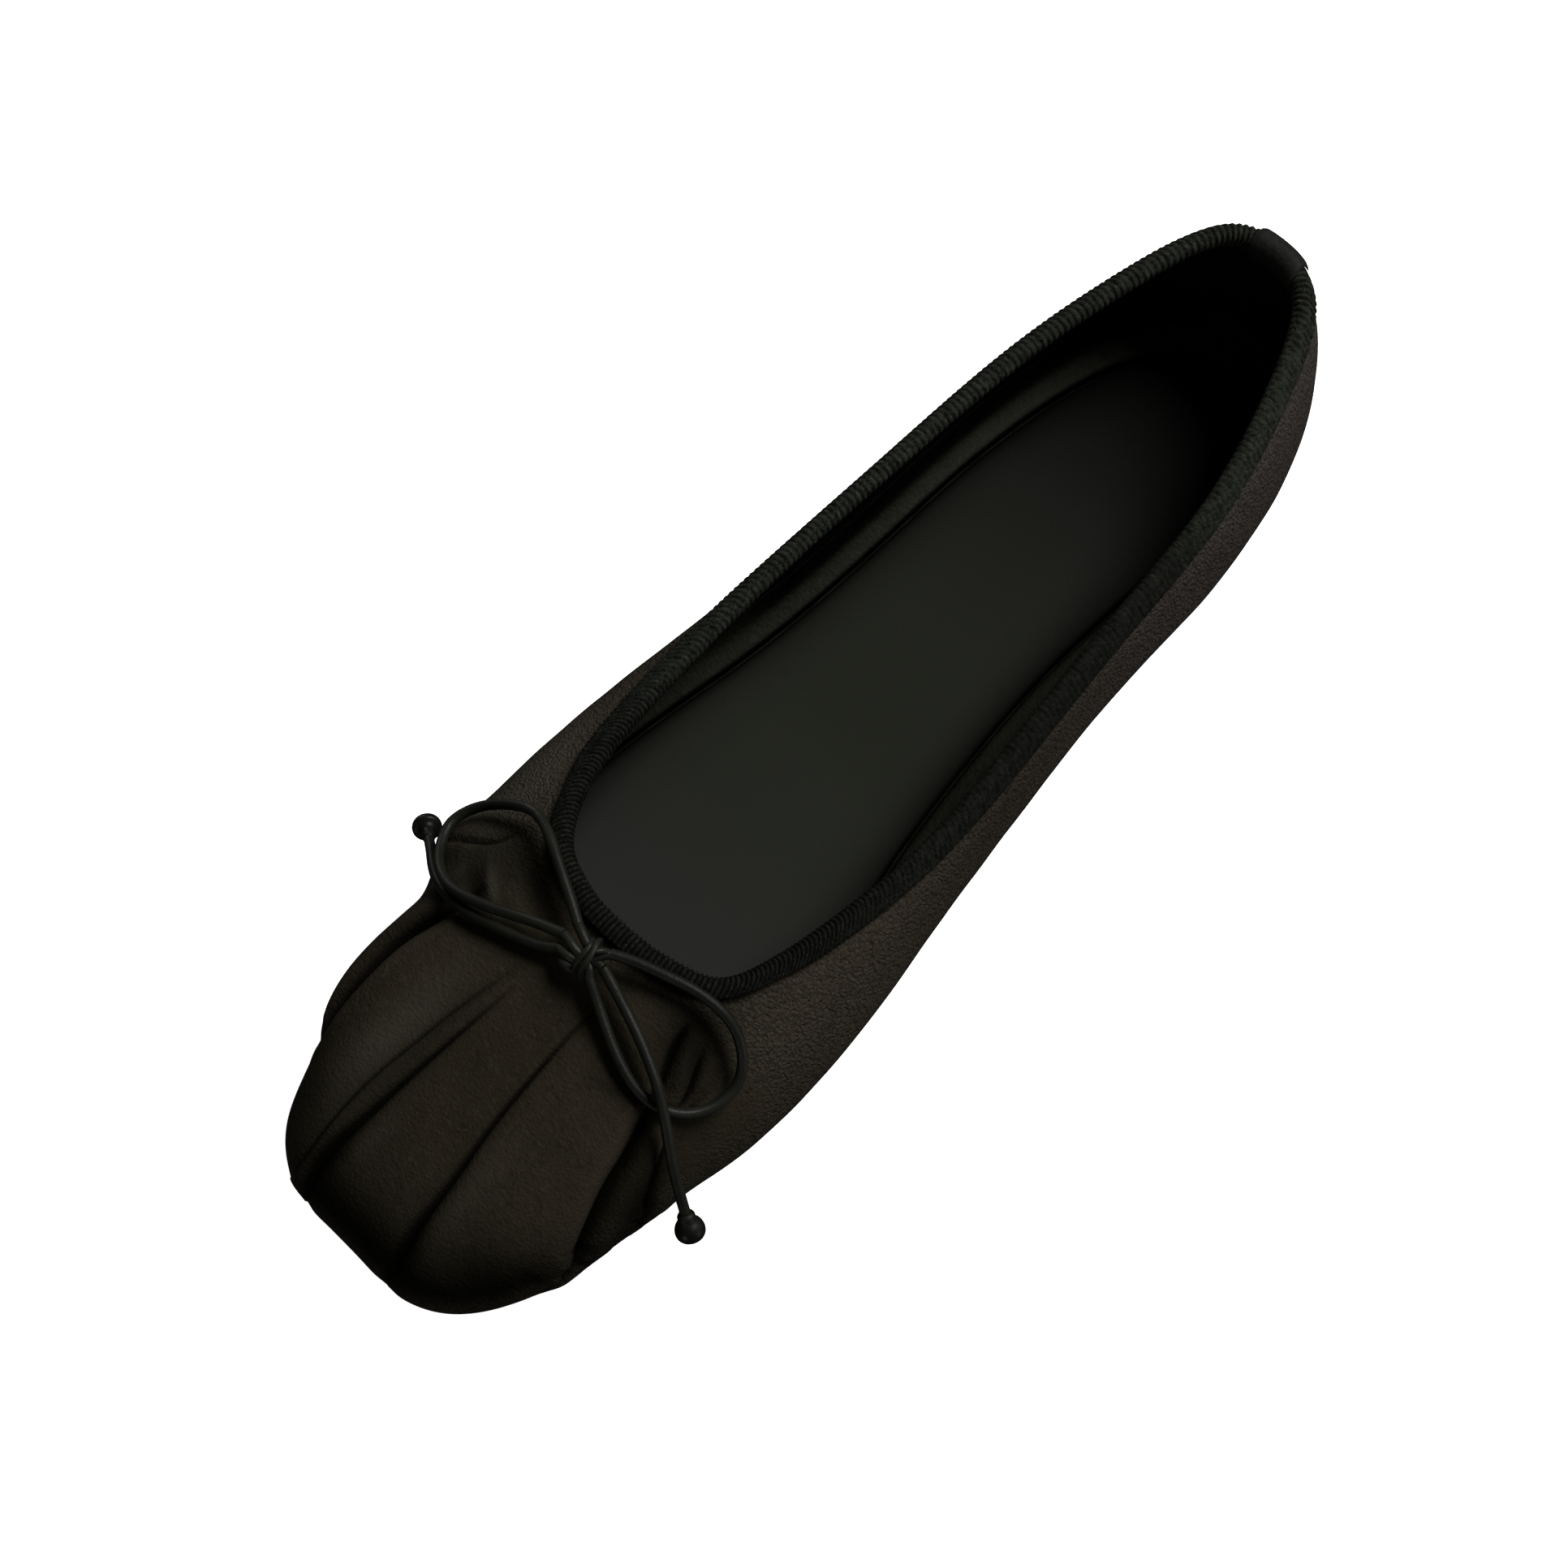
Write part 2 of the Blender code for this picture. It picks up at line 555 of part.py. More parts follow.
def add_heel(shell, finish):
    """A low block under the seat, its sides a little tapered and its front face hollowed."""
    edge, inward = shell[2:]
    seat = [i for i in range(COLUMNS_PER_SIDE) if edge[i, 1] < HEEL_BREAST - HEEL_BREAST_HOLLOW]
    order = [len(edge) - i for i in reversed(seat[1:])] + seat
    rings = []
    for inset, height in ((HEEL_TAPER, 0.0), (0.0, HEEL_LIFT - CLEARANCE)):
        wall = outline(edge, inward, inset, 0.0)[order]
        ends = wall[[-1, 0]]
        steps = np.linspace(0.0, 1.0, 9)
        breast = ends[0] + (ends[1] - ends[0]) * steps[:, None]
        breast[:, 1] = HEEL_BREAST - HEEL_BREAST_HOLLOW * np.sin(math.pi * steps)
        ring = np.concatenate([wall, breast])
        ring[:, 2] = height
        rings.append(ring)
    size = len(rings[0])
    faces = bridged(rings, closed_across=False) + [tuple(range(size)), tuple(range(size, 2 * size))]
    return add_solid("heel", np.concatenate(rings), faces, finish)


def smooth_path(points, step):
    """Points at even steps along a smooth curve through the given points."""
    reach = np.concatenate([[0.0], np.cumsum(np.linalg.norm(np.diff(points, axis=0), axis=1))])
    fine = spline(reach, points, np.linspace(0.0, reach[-1], 400), closed=False)
    run = np.concatenate([[0.0], np.cumsum(np.linalg.norm(np.diff(fine, axis=0), axis=1))])
    count = max(4, round(run[-1] / step) + 1)
    return np.stack([np.interp(np.linspace(0.0, run[-1], count), run, fine[:, i]) for i in range(3)], axis=1)


def route(name):
    """The smooth path of one of the bow's cords, in half width, station and height."""
    rows = np.array([[dict(zip(ROUTE_COLUMNS, row))[key] for key in ROUTE_COLUMNS] for row in ROUTES[name]])
    points = rows * [BOW_REACH, BOW_REACH, THROAT_HEIGHT] + [KNOT_ACROSS, KNOT_STATION, 0.0]
    return smooth_path(points, CORD_STEP)


def add_cord(name, finish):
    path = place(route(name))
    line = bpy.data.curves.new(name, "CURVE")
    line.dimensions = "3D"
    line.bevel_depth = CORD_DIAMETER / 2
    line.bevel_resolution = 2
    line.use_fill_caps = True
    strand = line.splines.new("POLY")
    strand.points.add(len(path) - 1)
    for point, at in zip(strand.points, path):
        point.co = (*at, 1.0)
    line.materials.append(finish)
    made = bpy.data.objects.new(name, line)
    bpy.context.scene.collection.objects.link(made)
    return made


def add_knot(finish):
    """The knot of the bow, a flattened round lump."""
    half = np.array([KNOT_LENGTH, KNOT_WIDTH, KNOT_HEIGHT]) / 2
    centre = np.array([KNOT_ACROSS, KNOT_STATION, KNOT_LEVEL])
    rings = []
    for turn in np.linspace(0.0, math.pi, KNOT_RINGS + 1)[1:-1]:
        around = np.arange(KNOT_SIDES) * 2 * math.pi / KNOT_SIDES
        ring = np.stack([np.full(KNOT_SIDES, math.cos(turn)), math.sin(turn) * np.cos(around),
                         math.sin(turn) * np.sin(around)], axis=1)
        rings.append(centre + ring * half)
    return add_sweep("bow_knot", rings, finish)


def add_tip(name, cord, finish):
    """A turned stopper that follows on from the end of a cord."""
    path = route(cord)
    along = path[-1] - path[-2]
    along /= np.linalg.norm(along)
    aside = np.cross(along, [0.0, 0.0, 1.0])
    aside /= np.linalg.norm(aside)
    over = np.cross(along, aside)
    rings = []
    for share, wide in TIP_PROFILE:
        centre = path[-1] + along * (CLEARANCE + share * TIP_LENGTH)
        turns = np.arange(TIP_SIDES)[:, None] * 2 * math.pi / TIP_SIDES
        rings.append(centre + wide * TIP_WIDTH / 2 * (np.cos(turns) * aside + np.sin(turns) * over))
    return add_sweep(name, rings, finish)


def build():
    for old in list(bpy.data.objects):
        bpy.data.objects.remove(old)
    leather = material("upper_leather", (0.030, 0.024, 0.018), 0.75)
    rubber = material("sole_rubber", (0.020, 0.019, 0.018), 0.6)
    lining = material("lining_leather", (0.024, 0.025, 0.022), 0.7)
    padding = material("footbed_leather", (0.026, 0.027, 0.024), 0.55)
    webbing = material("binding_webbing", (0.018, 0.020, 0.018), 0.8)
    cord = material("cord", (0.020, 0.022, 0.020), 0.6)
    face, edge, inward, ledge = wall_columns()
    shell = (face, outward_normals(face), edge, inward)
    add_upper(shell, leather)
    add_outsole(shell, rubber)
    add_heel(shell, rubber)
    add_insole(shell, lining)
    add_ledge(shell, ledge, lining)
    add_panel(shell, ledge, padding)
    add_binding(shell, webbing)
    add_tape(shell, webbing)
    add_knot(cord)
    for name in ROUTES:
        add_cord(name, cord)
    for name, end in TIPS.items():
        add_tip(name, end, cord)


build()
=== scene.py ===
"""A black ballet flat for the right foot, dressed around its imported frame.

A thin leather upper is gathered into folds at a square toe. A ribbed binding runs round its collar and
is joined at the heel. A drawcord is tied in a bow at the throat. Inside lie a soft ledge and a padded
sock, and underneath a thin sole on a low heel.

Shapes are worked out in the shoe's own measures, in metres: across from the middle line, the medial side
being positive, a station forward from the back of the heel, and a height over the floor.
"""

import math
from collections import namedtuple

import bmesh
import bpy
import numpy as np
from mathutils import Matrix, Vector


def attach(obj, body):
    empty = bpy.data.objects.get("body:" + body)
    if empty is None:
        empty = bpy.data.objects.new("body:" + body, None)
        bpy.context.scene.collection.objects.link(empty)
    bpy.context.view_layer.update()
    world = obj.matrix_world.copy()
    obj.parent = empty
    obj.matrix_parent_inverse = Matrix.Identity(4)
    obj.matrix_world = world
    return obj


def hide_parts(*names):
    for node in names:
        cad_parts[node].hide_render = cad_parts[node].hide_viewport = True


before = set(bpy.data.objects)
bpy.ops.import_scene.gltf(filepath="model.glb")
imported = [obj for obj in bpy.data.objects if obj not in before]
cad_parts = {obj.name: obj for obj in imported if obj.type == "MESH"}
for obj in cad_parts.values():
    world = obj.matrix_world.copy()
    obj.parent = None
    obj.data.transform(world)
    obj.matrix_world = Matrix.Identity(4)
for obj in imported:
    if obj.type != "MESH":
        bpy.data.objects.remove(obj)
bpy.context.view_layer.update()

MM = 0.001

# Sizes of the shoe, as it is cut and lasted
LENGTH = 253.0 * MM
BALL_WIDTH = 82.0 * MM
COLLAR_WIDTH = 59.0 * MM
HEEL_HEIGHT = 53.0 * MM
SIDE_HEIGHT = 33.2 * MM
THROAT_HEIGHT = 43.5 * MM
THROAT_STATION = 184.0 * MM

OUTSOLE_THICKNESS = 2.8 * MM
OUTSOLE_REVEAL = 0.8 * MM
HEEL_LIFT = 7.4 * MM
HEEL_BREAST = 58.0 * MM
HEEL_TAPER = 0.9 * MM
HEEL_BREAST_HOLLOW = 3.5 * MM
SHANK_END = 128.0 * MM
SPRING_START = 202.0 * MM
TOE_SPRING = 3.6 * MM

WALL = 1.5 * MM
LASTING_MARGIN = 7.0 * MM
FEATHER_INSET = 4.0 * MM
BULGE_HEIGHT = 8.0 * MM

CLEARANCE = 0.3 * MM
BINDING_THICKNESS = 0.9 * MM
BINDING_OUTSIDE = 3.2 * MM
BINDING_INSIDE = 4.6 * MM
TAPE_LENGTH = 14.0 * MM
TAPE_THICKNESS = 0.5 * MM
TAPE_OVERLAP = 0.4 * MM
INSOLE_THICKNESS = 1.2 * MM
LEDGE_WIDTH = 3.2 * MM
LEDGE_STEP = 0.9 * MM
LEDGE_RISE = 4.5 * MM
LATERAL_LEDGE_RISE = 2.8 * MM
SOCK_THICKNESS = 1.6 * MM
SOCK_GROOVE = 0.6 * MM

FLOOR = OUTSOLE_THICKNESS + CLEARANCE
INSOLE_BASE = FLOOR + WALL + CLEARANCE
SOCK_BASE = INSOLE_BASE + INSOLE_THICKNESS + CLEARANCE
SOCK_TOP = SOCK_BASE + SOCK_THICKNESS

CORD_DIAMETER = 2.0 * MM
CORD_STEP = 4.6 * MM
BOW_REACH = 45.0 * MM
KNOT_STATION = 190.3 * MM
KNOT_ACROSS = 0.9 * MM
KNOT_LEVEL = 47.0 * MM
TIP_LENGTH = 6.0 * MM
TIP_WIDTH = 5.6 * MM

# One row for each section of the upper, from the middle of the heel to the middle of the toe, in shares
# of the sizes above: the widest line, how far the sole's edge lies inboard of it, two points of the wall,
# the collar, and the ledge inside.
SECTION_COLUMNS = (
    "station medial lateral feather_m feather_l bulge low_in low_up high_in high_up "
    "collar collar_m collar_l heel throat ledge_m ledge_l"
).split()
SECTIONS = (
    (0.000, 0.000, 0.000, 0.70, 0.70, 1.60, 0.10, 0.42, 0.42, 0.76, 0.027, 0.00, 0.00, 1.00, 0.00, 2.60, 2.6),
    (0.028, 0.405, 0.385, 0.70, 0.65, 1.55, 0.10, 0.42, 0.42, 0.76, 0.048, 0.36, 0.34, 0.96, 0.00, 2.20, 2.2),
    (0.099, 0.640, 0.605, 0.95, 0.65, 1.35, 0.10, 0.42, 0.42, 0.76, 0.142, 0.64, 0.59, 0.77, 0.00, 1.75, 1.6),
    (0.198, 0.750, 0.710, 1.45, 0.65, 1.15, 0.10, 0.42, 0.44, 0.77, 0.271, 0.83, 0.81, 0.47, 0.00, 1.65, 1.25),
    (0.316, 0.762, 0.752, 2.00, 0.70, 1.10, 0.10, 0.42, 0.44, 0.77, 0.435, 0.90, 0.93, 0.24, 0.00, 1.85, 1.0),
    (0.435, 0.812, 0.822, 2.10, 0.75, 1.05, 0.10, 0.42, 0.44, 0.77, 0.590, 0.98, 1.00, 0.08, 0.00, 2.20, 1.0),
    (0.545, 0.898, 0.930, 1.65, 0.80, 1.05, 0.10, 0.42, 0.46, 0.78, 0.716, 1.01, 1.00, 0.00, 0.02, 2.40, 1.0),
    (0.632, 0.975, 0.992, 1.25, 0.85, 1.05, 0.12, 0.43, 0.50, 0.80, 0.800, 0.98, 0.96, 0.00, 0.16, 1.95, 1.0),
    (0.715, 1.000, 0.985, 1.00, 0.90, 1.00, 0.13, 0.44, 0.52, 0.81, 0.862, 0.94, 0.90, 0.00, 0.38, 1.30, 1.0),
    (0.800, 0.935, 0.880, 0.90, 0.90, 0.90, 0.14, 0.46, 0.52, 0.80, 0.920, 0.88, 0.79, 0.00, 0.64, 1.00, 1.0),
    (0.868, 0.848, 0.868, 0.90, 0.90, 0.85, 0.14, 0.44, 0.52, 0.77, 0.955, 0.81, 0.67, 0.00, 0.80, 1.00, 1.0),
    (0.922, 0.775, 0.715, 0.90, 0.90, 0.75, 0.12, 0.40, 0.52, 0.74, 0.977, 0.70, 0.54, 0.00, 0.89, 1.00, 1.0),
    (0.974, 0.595, 0.560, 0.90, 0.90, 0.65, 0.10, 0.36, 0.50, 0.71, 0.990, 0.51, 0.37, 0.00, 0.95, 1.00, 1.0),
    (0.998, 0.360, 0.320, 0.90, 0.90, 0.65, 0.09, 0.34, 0.50, 0.70, 0.998, 0.27, 0.19, 0.00, 0.99, 1.00, 1.0),
    (1.000, 0.000, 0.000, 0.90, 0.90, 0.65, 0.09, 0.34, 0.50, 0.70, 1.000, 0.00, 0.00, 0.00, 1.00, 1.00, 1.0),
)

# The folds of the toe, each from its top to its foot, in millimetres: across, station, how deep and how wide
# the valley is, how far the leather stands proud on its medial and its lateral side, and at what reach.
FOLDS = {
    "lateral corner": (
        (-22.6, 194.5, 0.3, 1.3, 0.0, 0.2, 2.2), (-24.9, 200.0, 2.0, 1.4, 0.3, 0.9, 2.4),
        (-27.4, 205.6, 2.8, 1.6, 0.6, 1.0, 2.6), (-29.4, 211.6, 3.2, 1.8, 0.8, 0.8, 2.8),
        (-30.2, 217.6, 3.2, 1.9, 0.8, 1.0, 3.0), (-30.4, 223.0, 2.7, 1.9, 0.7, 1.3, 3.2),
        (-30.2, 228.0, 1.9, 1.8, 0.5, 1.2, 3.2), (-29.4, 233.0, 0.4, 1.6, 0.1, 0.3, 3.0),
    ),
    "lateral pleat, upper line": (
        (-7.6, 201.0, 0.1, 0.4, 0.1, 0.0, 1.4), (-9.2, 207.1, 0.35, 0.38, 0.3, 0.0, 1.4),
        (-10.6, 212.9, 0.5, 0.38, 0.4, 0.1, 1.4), (-12.0, 220.6, 0.6, 0.4, 0.5, 0.1, 1.4),
        (-13.5, 229.5, 0.6, 0.45, 0.6, 0.1, 1.5), (-14.1, 236.8, 0.6, 0.5, 0.6, 0.1, 1.6),
        (-14.2, 244.7, 0.6, 0.6, 0.6, 0.1, 1.6), (-14.9, 250.9, 0.4, 0.7, 0.4, 0.1, 1.6),
    ),
    "lateral pleat, lower line": (
        (-5.2, 202.0, 0.1, 0.35, 0.0, 0.1, 1.4), (-6.2, 209.3, 0.5, 0.38, 0.1, 0.4, 1.4),
        (-7.2, 216.4, 0.8, 0.42, 0.1, 0.6, 1.4), (-8.5, 225.7, 1.1, 0.55, 0.1, 0.8, 1.5),
        (-9.8, 235.0, 1.5, 0.8, 0.1, 0.9, 1.6), (-11.2, 243.0, 2.0, 1.3, 0.2, 0.9, 1.9),
        (-11.7, 249.0, 2.2, 1.7, 0.2, 0.8, 2.2), (-11.2, 252.6, 1.4, 1.5, 0.2, 0.5, 2.2),
    ),
    "medial pleat": (
        (8.4, 195.0, 0.1, 0.35, 0.0, 0.1, 2.4), (7.9, 202.0, 0.5, 0.4, 0.2, 0.2, 2.4),
        (7.9, 209.8, 0.8, 0.45, 0.3, 0.2, 2.8), (8.1, 218.0, 1.0, 0.5, 0.5, 0.2, 3.0),
        (8.8, 227.0, 1.2, 0.6, 0.8, 0.2, 3.2), (9.6, 235.5, 1.5, 0.85, 1.0, 0.2, 3.2),
        (9.9, 243.0, 1.8, 1.2, 0.9, 0.2, 3.0), (10.4, 249.6, 1.8, 1.4, 0.5, 0.2, 3.0),
        (10.3, 252.8, 1.2, 1.2, 0.3, 0.2, 3.0),
    ),
    "medial corner": (
        (24.8, 197.5, 0.3, 1.2, 0.1, 0.1, 2.4), (27.0, 203.0, 2.0, 1.4, 0.9, 0.4, 2.6),
        (28.8, 208.8, 3.0, 1.6, 1.3, 0.8, 2.8), (30.0, 214.4, 3.5, 1.9, 1.3, 1.0, 3.0),
        (31.4, 220.0, 3.5, 2.1, 1.0, 1.1, 3.2), (32.5, 225.2, 3.1, 2.2, 0.8, 1.0, 3.4),
        (32.7, 230.0, 2.0, 2.2, 0.5, 0.6, 3.4), (31.8, 235.0, 0.3, 2.0, 0.1, 0.1, 3.2),
    ),
    "medial corner, second": (
        (30.6, 201.0, 0.1, 0.7, 0.1, 0.0, 1.6), (32.4, 205.0, 0.8, 0.8, 0.2, 0.5, 1.7),
        (34.4, 210.0, 1.1, 0.9, 0.3, 0.6, 1.8), (35.6, 214.5, 0.9, 1.0, 0.3, 0.4, 1.8),
        (36.4, 218.5, 0.1, 1.0, 0.1, 0.1, 1.8),
    ),
    "pucker in the medial loop": (
        (22.0, 187.0, 0.3, 0.9, 0.1, 0.1, 1.6), (22.6, 190.4, 1.3, 1.0, 0.8, 0.2, 1.6),
        (23.8, 193.8, 1.5, 1.0, 0.9, 0.2, 1.7), (25.4, 197.8, 0.3, 0.9, 0.2, 0.1, 1.8),
    ),
    "second pucker in the medial loop": (
        (26.6, 188.0, 0.2, 0.6, 0.1, 0.2, 1.4), (28.1, 191.6, 1.0, 0.7, 0.5, 0.6, 1.4),
        (29.4, 195.2, 0.9, 0.7, 0.4, 0.6, 1.5), (29.9, 198.4, 0.2, 0.7, 0.1, 0.1, 1.5),
    ),
    "crease in the lateral loop": (
        (-35.4, 190.4, 0.3, 0.5, 0.1, 0.1, 1.6), (-31.4, 188.4, 0.7, 0.5, 0.2, 0.3, 1.6),
        (-27.8, 186.2, 0.7, 0.5, 0.2, 0.3, 1.6), (-25.4, 182.6, 0.2, 0.5, 0.1, 0.1, 1.6),
    ),
}

# Soft spots on the leather, in millimetres: across and station of the middle, how the long axis turns from
# straight ahead in degrees, half length, half width, and an amount. First its swellings and hollows, whose
# amount is a height.
SWELLINGS = (
    (-21.0, 222.0, 12.0, 19.0, 7.0, 1.2),
    (-1.5, 224.0, 4.0, 22.0, 7.5, 1.0),
    (19.5, 226.0, -4.0, 20.0, 8.0, 1.3),
    (-35.5, 188.0, 0.0, 7.0, 5.5, 3.2),
    (-22.2, 191.6, 50.0, 4.2, 1.4, 1.0),
    (-24.5, 194.8, 55.0, 4.5, 1.4, -0.6),
    (32.5, 231.5, 20.0, 3.5, 3.0, 0.8),
    (26.0, 193.4, 20.0, 4.4, 1.2, 0.9),
    (-14.0, 188.0, 60.0, 7.0, 3.5, -0.7),
    (36.0, 200.0, 0.0, 9.0, 4.0, -0.5),
    (-35.0, 198.0, 0.0, 8.0, 4.0, -0.5),
)

# Where the leather lies in shade, from 0 to 1
SHADOWS = (
    (24.5, 188.5, 25.0, 9.0, 6.0, 0.86),
    (-24.5, 189.5, 0.0, 9.0, 7.0, 0.56),
    (-10.6, 224.0, -8.0, 22.0, 1.9, 0.40),
    (9.0, 198.0, 0.0, 5.0, 9.0, 0.25),
    (-22.0, 195.6, 60.0, 5.0, 1.2, 0.55),
    (1.5, 214.0, 0.0, 14.0, 6.0, 0.16),
    (-13.5, 187.0, 62.0, 8.0, 2.8, 0.70),
    (-20.0, 196.2, -60.0, 4.5, 1.6, 0.60),
    (-28.5, 197.5, -35.0, 6.0, 1.6, 0.55),
    (8.5, 194.5, 0.0, 3.4, 2.6, 0.55),
    (-9.5, 243.5, 0.0, 6.0, 2.6, 0.60),
    (12.0, 246.0, 0.0, 5.0, 3.0, 0.45),
    (20.0, 203.5, -80.0, 6.0, 1.2, 0.45),
    (35.5, 224.0, 0.0, 12.0, 4.0, 0.65),
    (33.0, 210.0, 12.0, 9.0, 3.2, 0.76),
    (18.0, 222.0, -4.0, 26.0, 9.0, 0.18),
    (24.5, 240.5, 20.0, 6.0, 5.5, 0.60),
    (-20.5, 238.5, 0.0, 7.0, 5.0, 0.36),
)

# Painted highlights: a pale sheen where the light catches the leather, from 0 to 1
PAINTED_HIGHLIGHT_SPOTS = (
    (-16.0, 222.0, -6.0, 19.0, 4.4, 0.30),
    (-33.5, 170.0, 12.0, 22.0, 6.0, 0.40),
    (-6.5, 238.0, -8.0, 6.0, 1.6, 0.20),
    (14.0, 231.0, -4.0, 11.0, 3.0, 0.10),
    (31.4, 205.0, 12.0, 6.0, 0.5, 0.60),
    (24.8, 193.0, 18.0, 3.4, 0.7, 0.60),
    (-21.0, 192.2, 50.0, 3.6, 0.8, 0.55),
)

# The bow's cords: across and forward as shares of BOW_REACH from the knot, height as a share of
# THROAT_HEIGHT.
BOW_ROUTES = {
    "bow_loop_lateral": (
        (-0.087, -0.051, 1.071), (-0.160, -0.092, 1.068), (-0.310, -0.170, 1.060), (-0.460, -0.245, 1.032),
        (-0.555, -0.270, 0.990), (-0.650, -0.255, 0.918), (-0.740, -0.215, 0.836), (-0.818, -0.140, 0.770),
        (-0.842, -0.051, 0.752), (-0.804, 0.036, 0.772), (-0.731, 0.112, 0.824), (-0.620, 0.156, 0.886),
        (-0.509, 0.146, 0.930), (-0.369, 0.100, 0.964), (-0.244, 0.053, 1.006), (-0.167, 0.030, 1.036),
        (-0.102, 0.010, 1.058),
    ),
    "bow_loop_medial": (
        (0.087, -0.053, 1.075), (0.160, -0.090, 1.070), (0.270, -0.130, 1.064), (0.430, -0.178, 1.048),
        (0.585, -0.190, 0.992), (0.693, -0.144, 0.888), (0.747, -0.049, 0.804), (0.729, 0.076, 0.784),
        (0.684, 0.153, 0.797), (0.630, 0.200, 0.824), (0.530, 0.230, 0.865), (0.420, 0.217, 0.905),
        (0.290, 0.168, 0.945), (0.170, 0.108, 0.988), (0.082, 0.064, 1.032),
    ),
    "bow_end_lateral": (
        (-0.084, 0.060, 1.030), (-0.160, 0.100, 0.990), (-0.290, 0.140, 0.948), (-0.420, 0.172, 0.906),
        (-0.562, 0.187, 0.862), (-0.675, 0.168, 0.800), (-0.775, 0.122, 0.722), (-0.852, 0.072, 0.650),
        (-0.905, 0.040, 0.600),
    ),
    "bow_end_medial": (
        (0.102, 0.004, 1.062), (0.170, 0.024, 1.040), (0.249, 0.049, 1.014), (0.347, 0.082, 0.990),
        (0.449, 0.124, 0.966), (0.542, 0.169, 0.938), (0.620, 0.218, 0.896), (0.691, 0.269, 0.830),
        (0.776, 0.331, 0.708), (0.858, 0.380, 0.588), (0.900, 0.403, 0.530),
    ),
}
STOPPERS = {"cord_tip_lateral": "bow_end_lateral", "cord_tip_medial": "bow_end_medial"}
# Each stopper is turned from its neck to its head: shares of TIP_LENGTH and of TIP_WIDTH / 2. The lateral one
# flares to a flat cap, and the medial one is a bulb with a crease round its neck.
STOPPER_PROFILES = {
    "cord_tip_lateral": (
        (0.00, 0.00), (0.00, 0.38), (0.06, 0.44), (0.20, 0.42), (0.36, 0.46), (0.46, 0.60), (0.53, 0.84),
        (0.60, 0.98), (0.69, 1.00), (0.78, 0.95), (0.83, 0.78), (0.85, 0.45), (0.86, 0.00),
    ),
    "cord_tip_medial": (
        (0.00, 0.00), (0.00, 0.42), (0.05, 0.54), (0.14, 0.60), (0.22, 0.58), (0.28, 0.64), (0.40, 0.84),
        (0.56, 0.98), (0.70, 1.00), (0.84, 0.90), (0.94, 0.66), (0.99, 0.36), (1.00, 0.00),
    ),
}

# The knot's strands, each with its thickness: across, forward and up from the knot's middle, in millimetres
KNOT_STRANDS = (
    (1.9, (
        ((-3.9, -2.3, -0.4), (-2.4, -1.7, -0.1), (-0.9, -1.1, -0.2), (0.8, -0.6, -0.6)),
        ((-4.6, 0.5, -1.0), (-3.0, 0.8, -0.8), (-1.4, 1.1, -0.8), (0.4, 1.2, -1.2)),
        ((-3.8, 2.7, -2.2), (-2.6, 2.8, -1.7), (-1.2, 2.6, -1.6), (0.4, 2.0, -1.9)),
        ((3.9, -2.4, -0.2), (3.3, -1.5, -0.1), (2.6, -0.4, -0.2), (1.4, 0.5, -0.7)),
        ((3.7, 2.9, -2.1), (3.2, 2.2, -1.6), (2.4, 1.4, -1.4), (1.2, 0.8, -1.6)),
        ((4.6, 0.2, -0.8), (3.6, 0.2, -0.8), (2.6, 0.4, -1.0), (1.4, 0.6, -1.4)),
        ((-2.6, 3.4, -3.0), (-1.0, 4.0, -2.4), (0.6, 3.6, -2.4), (1.8, 2.6, -2.8)),
    )),
    (1.15, (
        ((2.5, 4.2, -1.6), (2.4, 3.6, -0.2), (2.4, 2.5, 1.1), (2.2, 0.7, 1.6),
         (1.7, -1.0, 1.5), (1.1, -2.3, 0.7), (0.8, -2.9, -0.8)),
        ((2.2, -0.6, 1.5), (2.8, -1.5, 1.2), (3.3, -2.1, 0.6)),
        ((0.9, 3.6, -1.4), (0.8, 2.4, 0.2), (0.9, 0.8, 0.9), (0.6, -0.8, 0.8), (0.0, -2.0, -0.2)),
    )),
)

# The shade of the folds, of the band across the toe, under the cords, beside the binding at the throat, and
# in the lining. A fold is felt as far as its reach.
FOLD_REACH = 14.0 * MM
FOLD_SHADE = 0.95
HOLLOW_SHADE = 0.26
HOLLOW_REACH = 2.5 * MM
TOE_BAND_HEIGHT = 19.0 * MM
TOE_BAND_SPREAD = 5.6 * MM
TOE_BAND_SPREAD_BELOW = 3.4 * MM
CORD_SHADE = 0.94
CORD_SHADE_REACH = 1.6 * MM
CORD_SHADE_SHIFT = 0.7 * MM
BINDING_SHADE = 0.85
BINDING_SHADE_DOWN = 2.6 * MM
BINDING_SHADE_REACH = 1.7 * MM
LINING_SHADE = 0.9

# The ribs of the binding, how much narrower it is at the throat and inside the lateral wall, and how far its
# skin lies under the tops of its ribs
RIB_PITCH = 1.29 * MM
THROAT_RIB_PITCH = 1.0 * MM
RIB_HEIGHT = 0.52 * MM
RIB_ROOM = 0.30 * MM
THROAT_NARROWING = 1.3 * MM
LATERAL_NARROWING = 1.9 * MM

# How finely the pieces are made
COLUMNS_PER_SIDE = 380
FACE_ROWS = 104
LINING_ROWS = 20
COLUMNS_PER_RIB = 6
FOLD_STEPS = 120
LEDGE_RINGS = 14
HEEL_BREAST_STEPS = 41
TAPE_STATIONS = 29
TAPE_REACH = 30
TAPE_ANGLES = (30, 60, 90, 120, 150)
STOPPER_RINGS = 34
STOPPER_SIDES = 40

# Camera, floor and light
CAMERA_AZIMUTH = 43.5
CAMERA_ELEVATION = 70.1
CAMERA_DISTANCE = 0.468
CAMERA_AIM = Vector((-0.0016, -0.0114, 0.020))
FOCAL_SHARE = 3079 / 1932

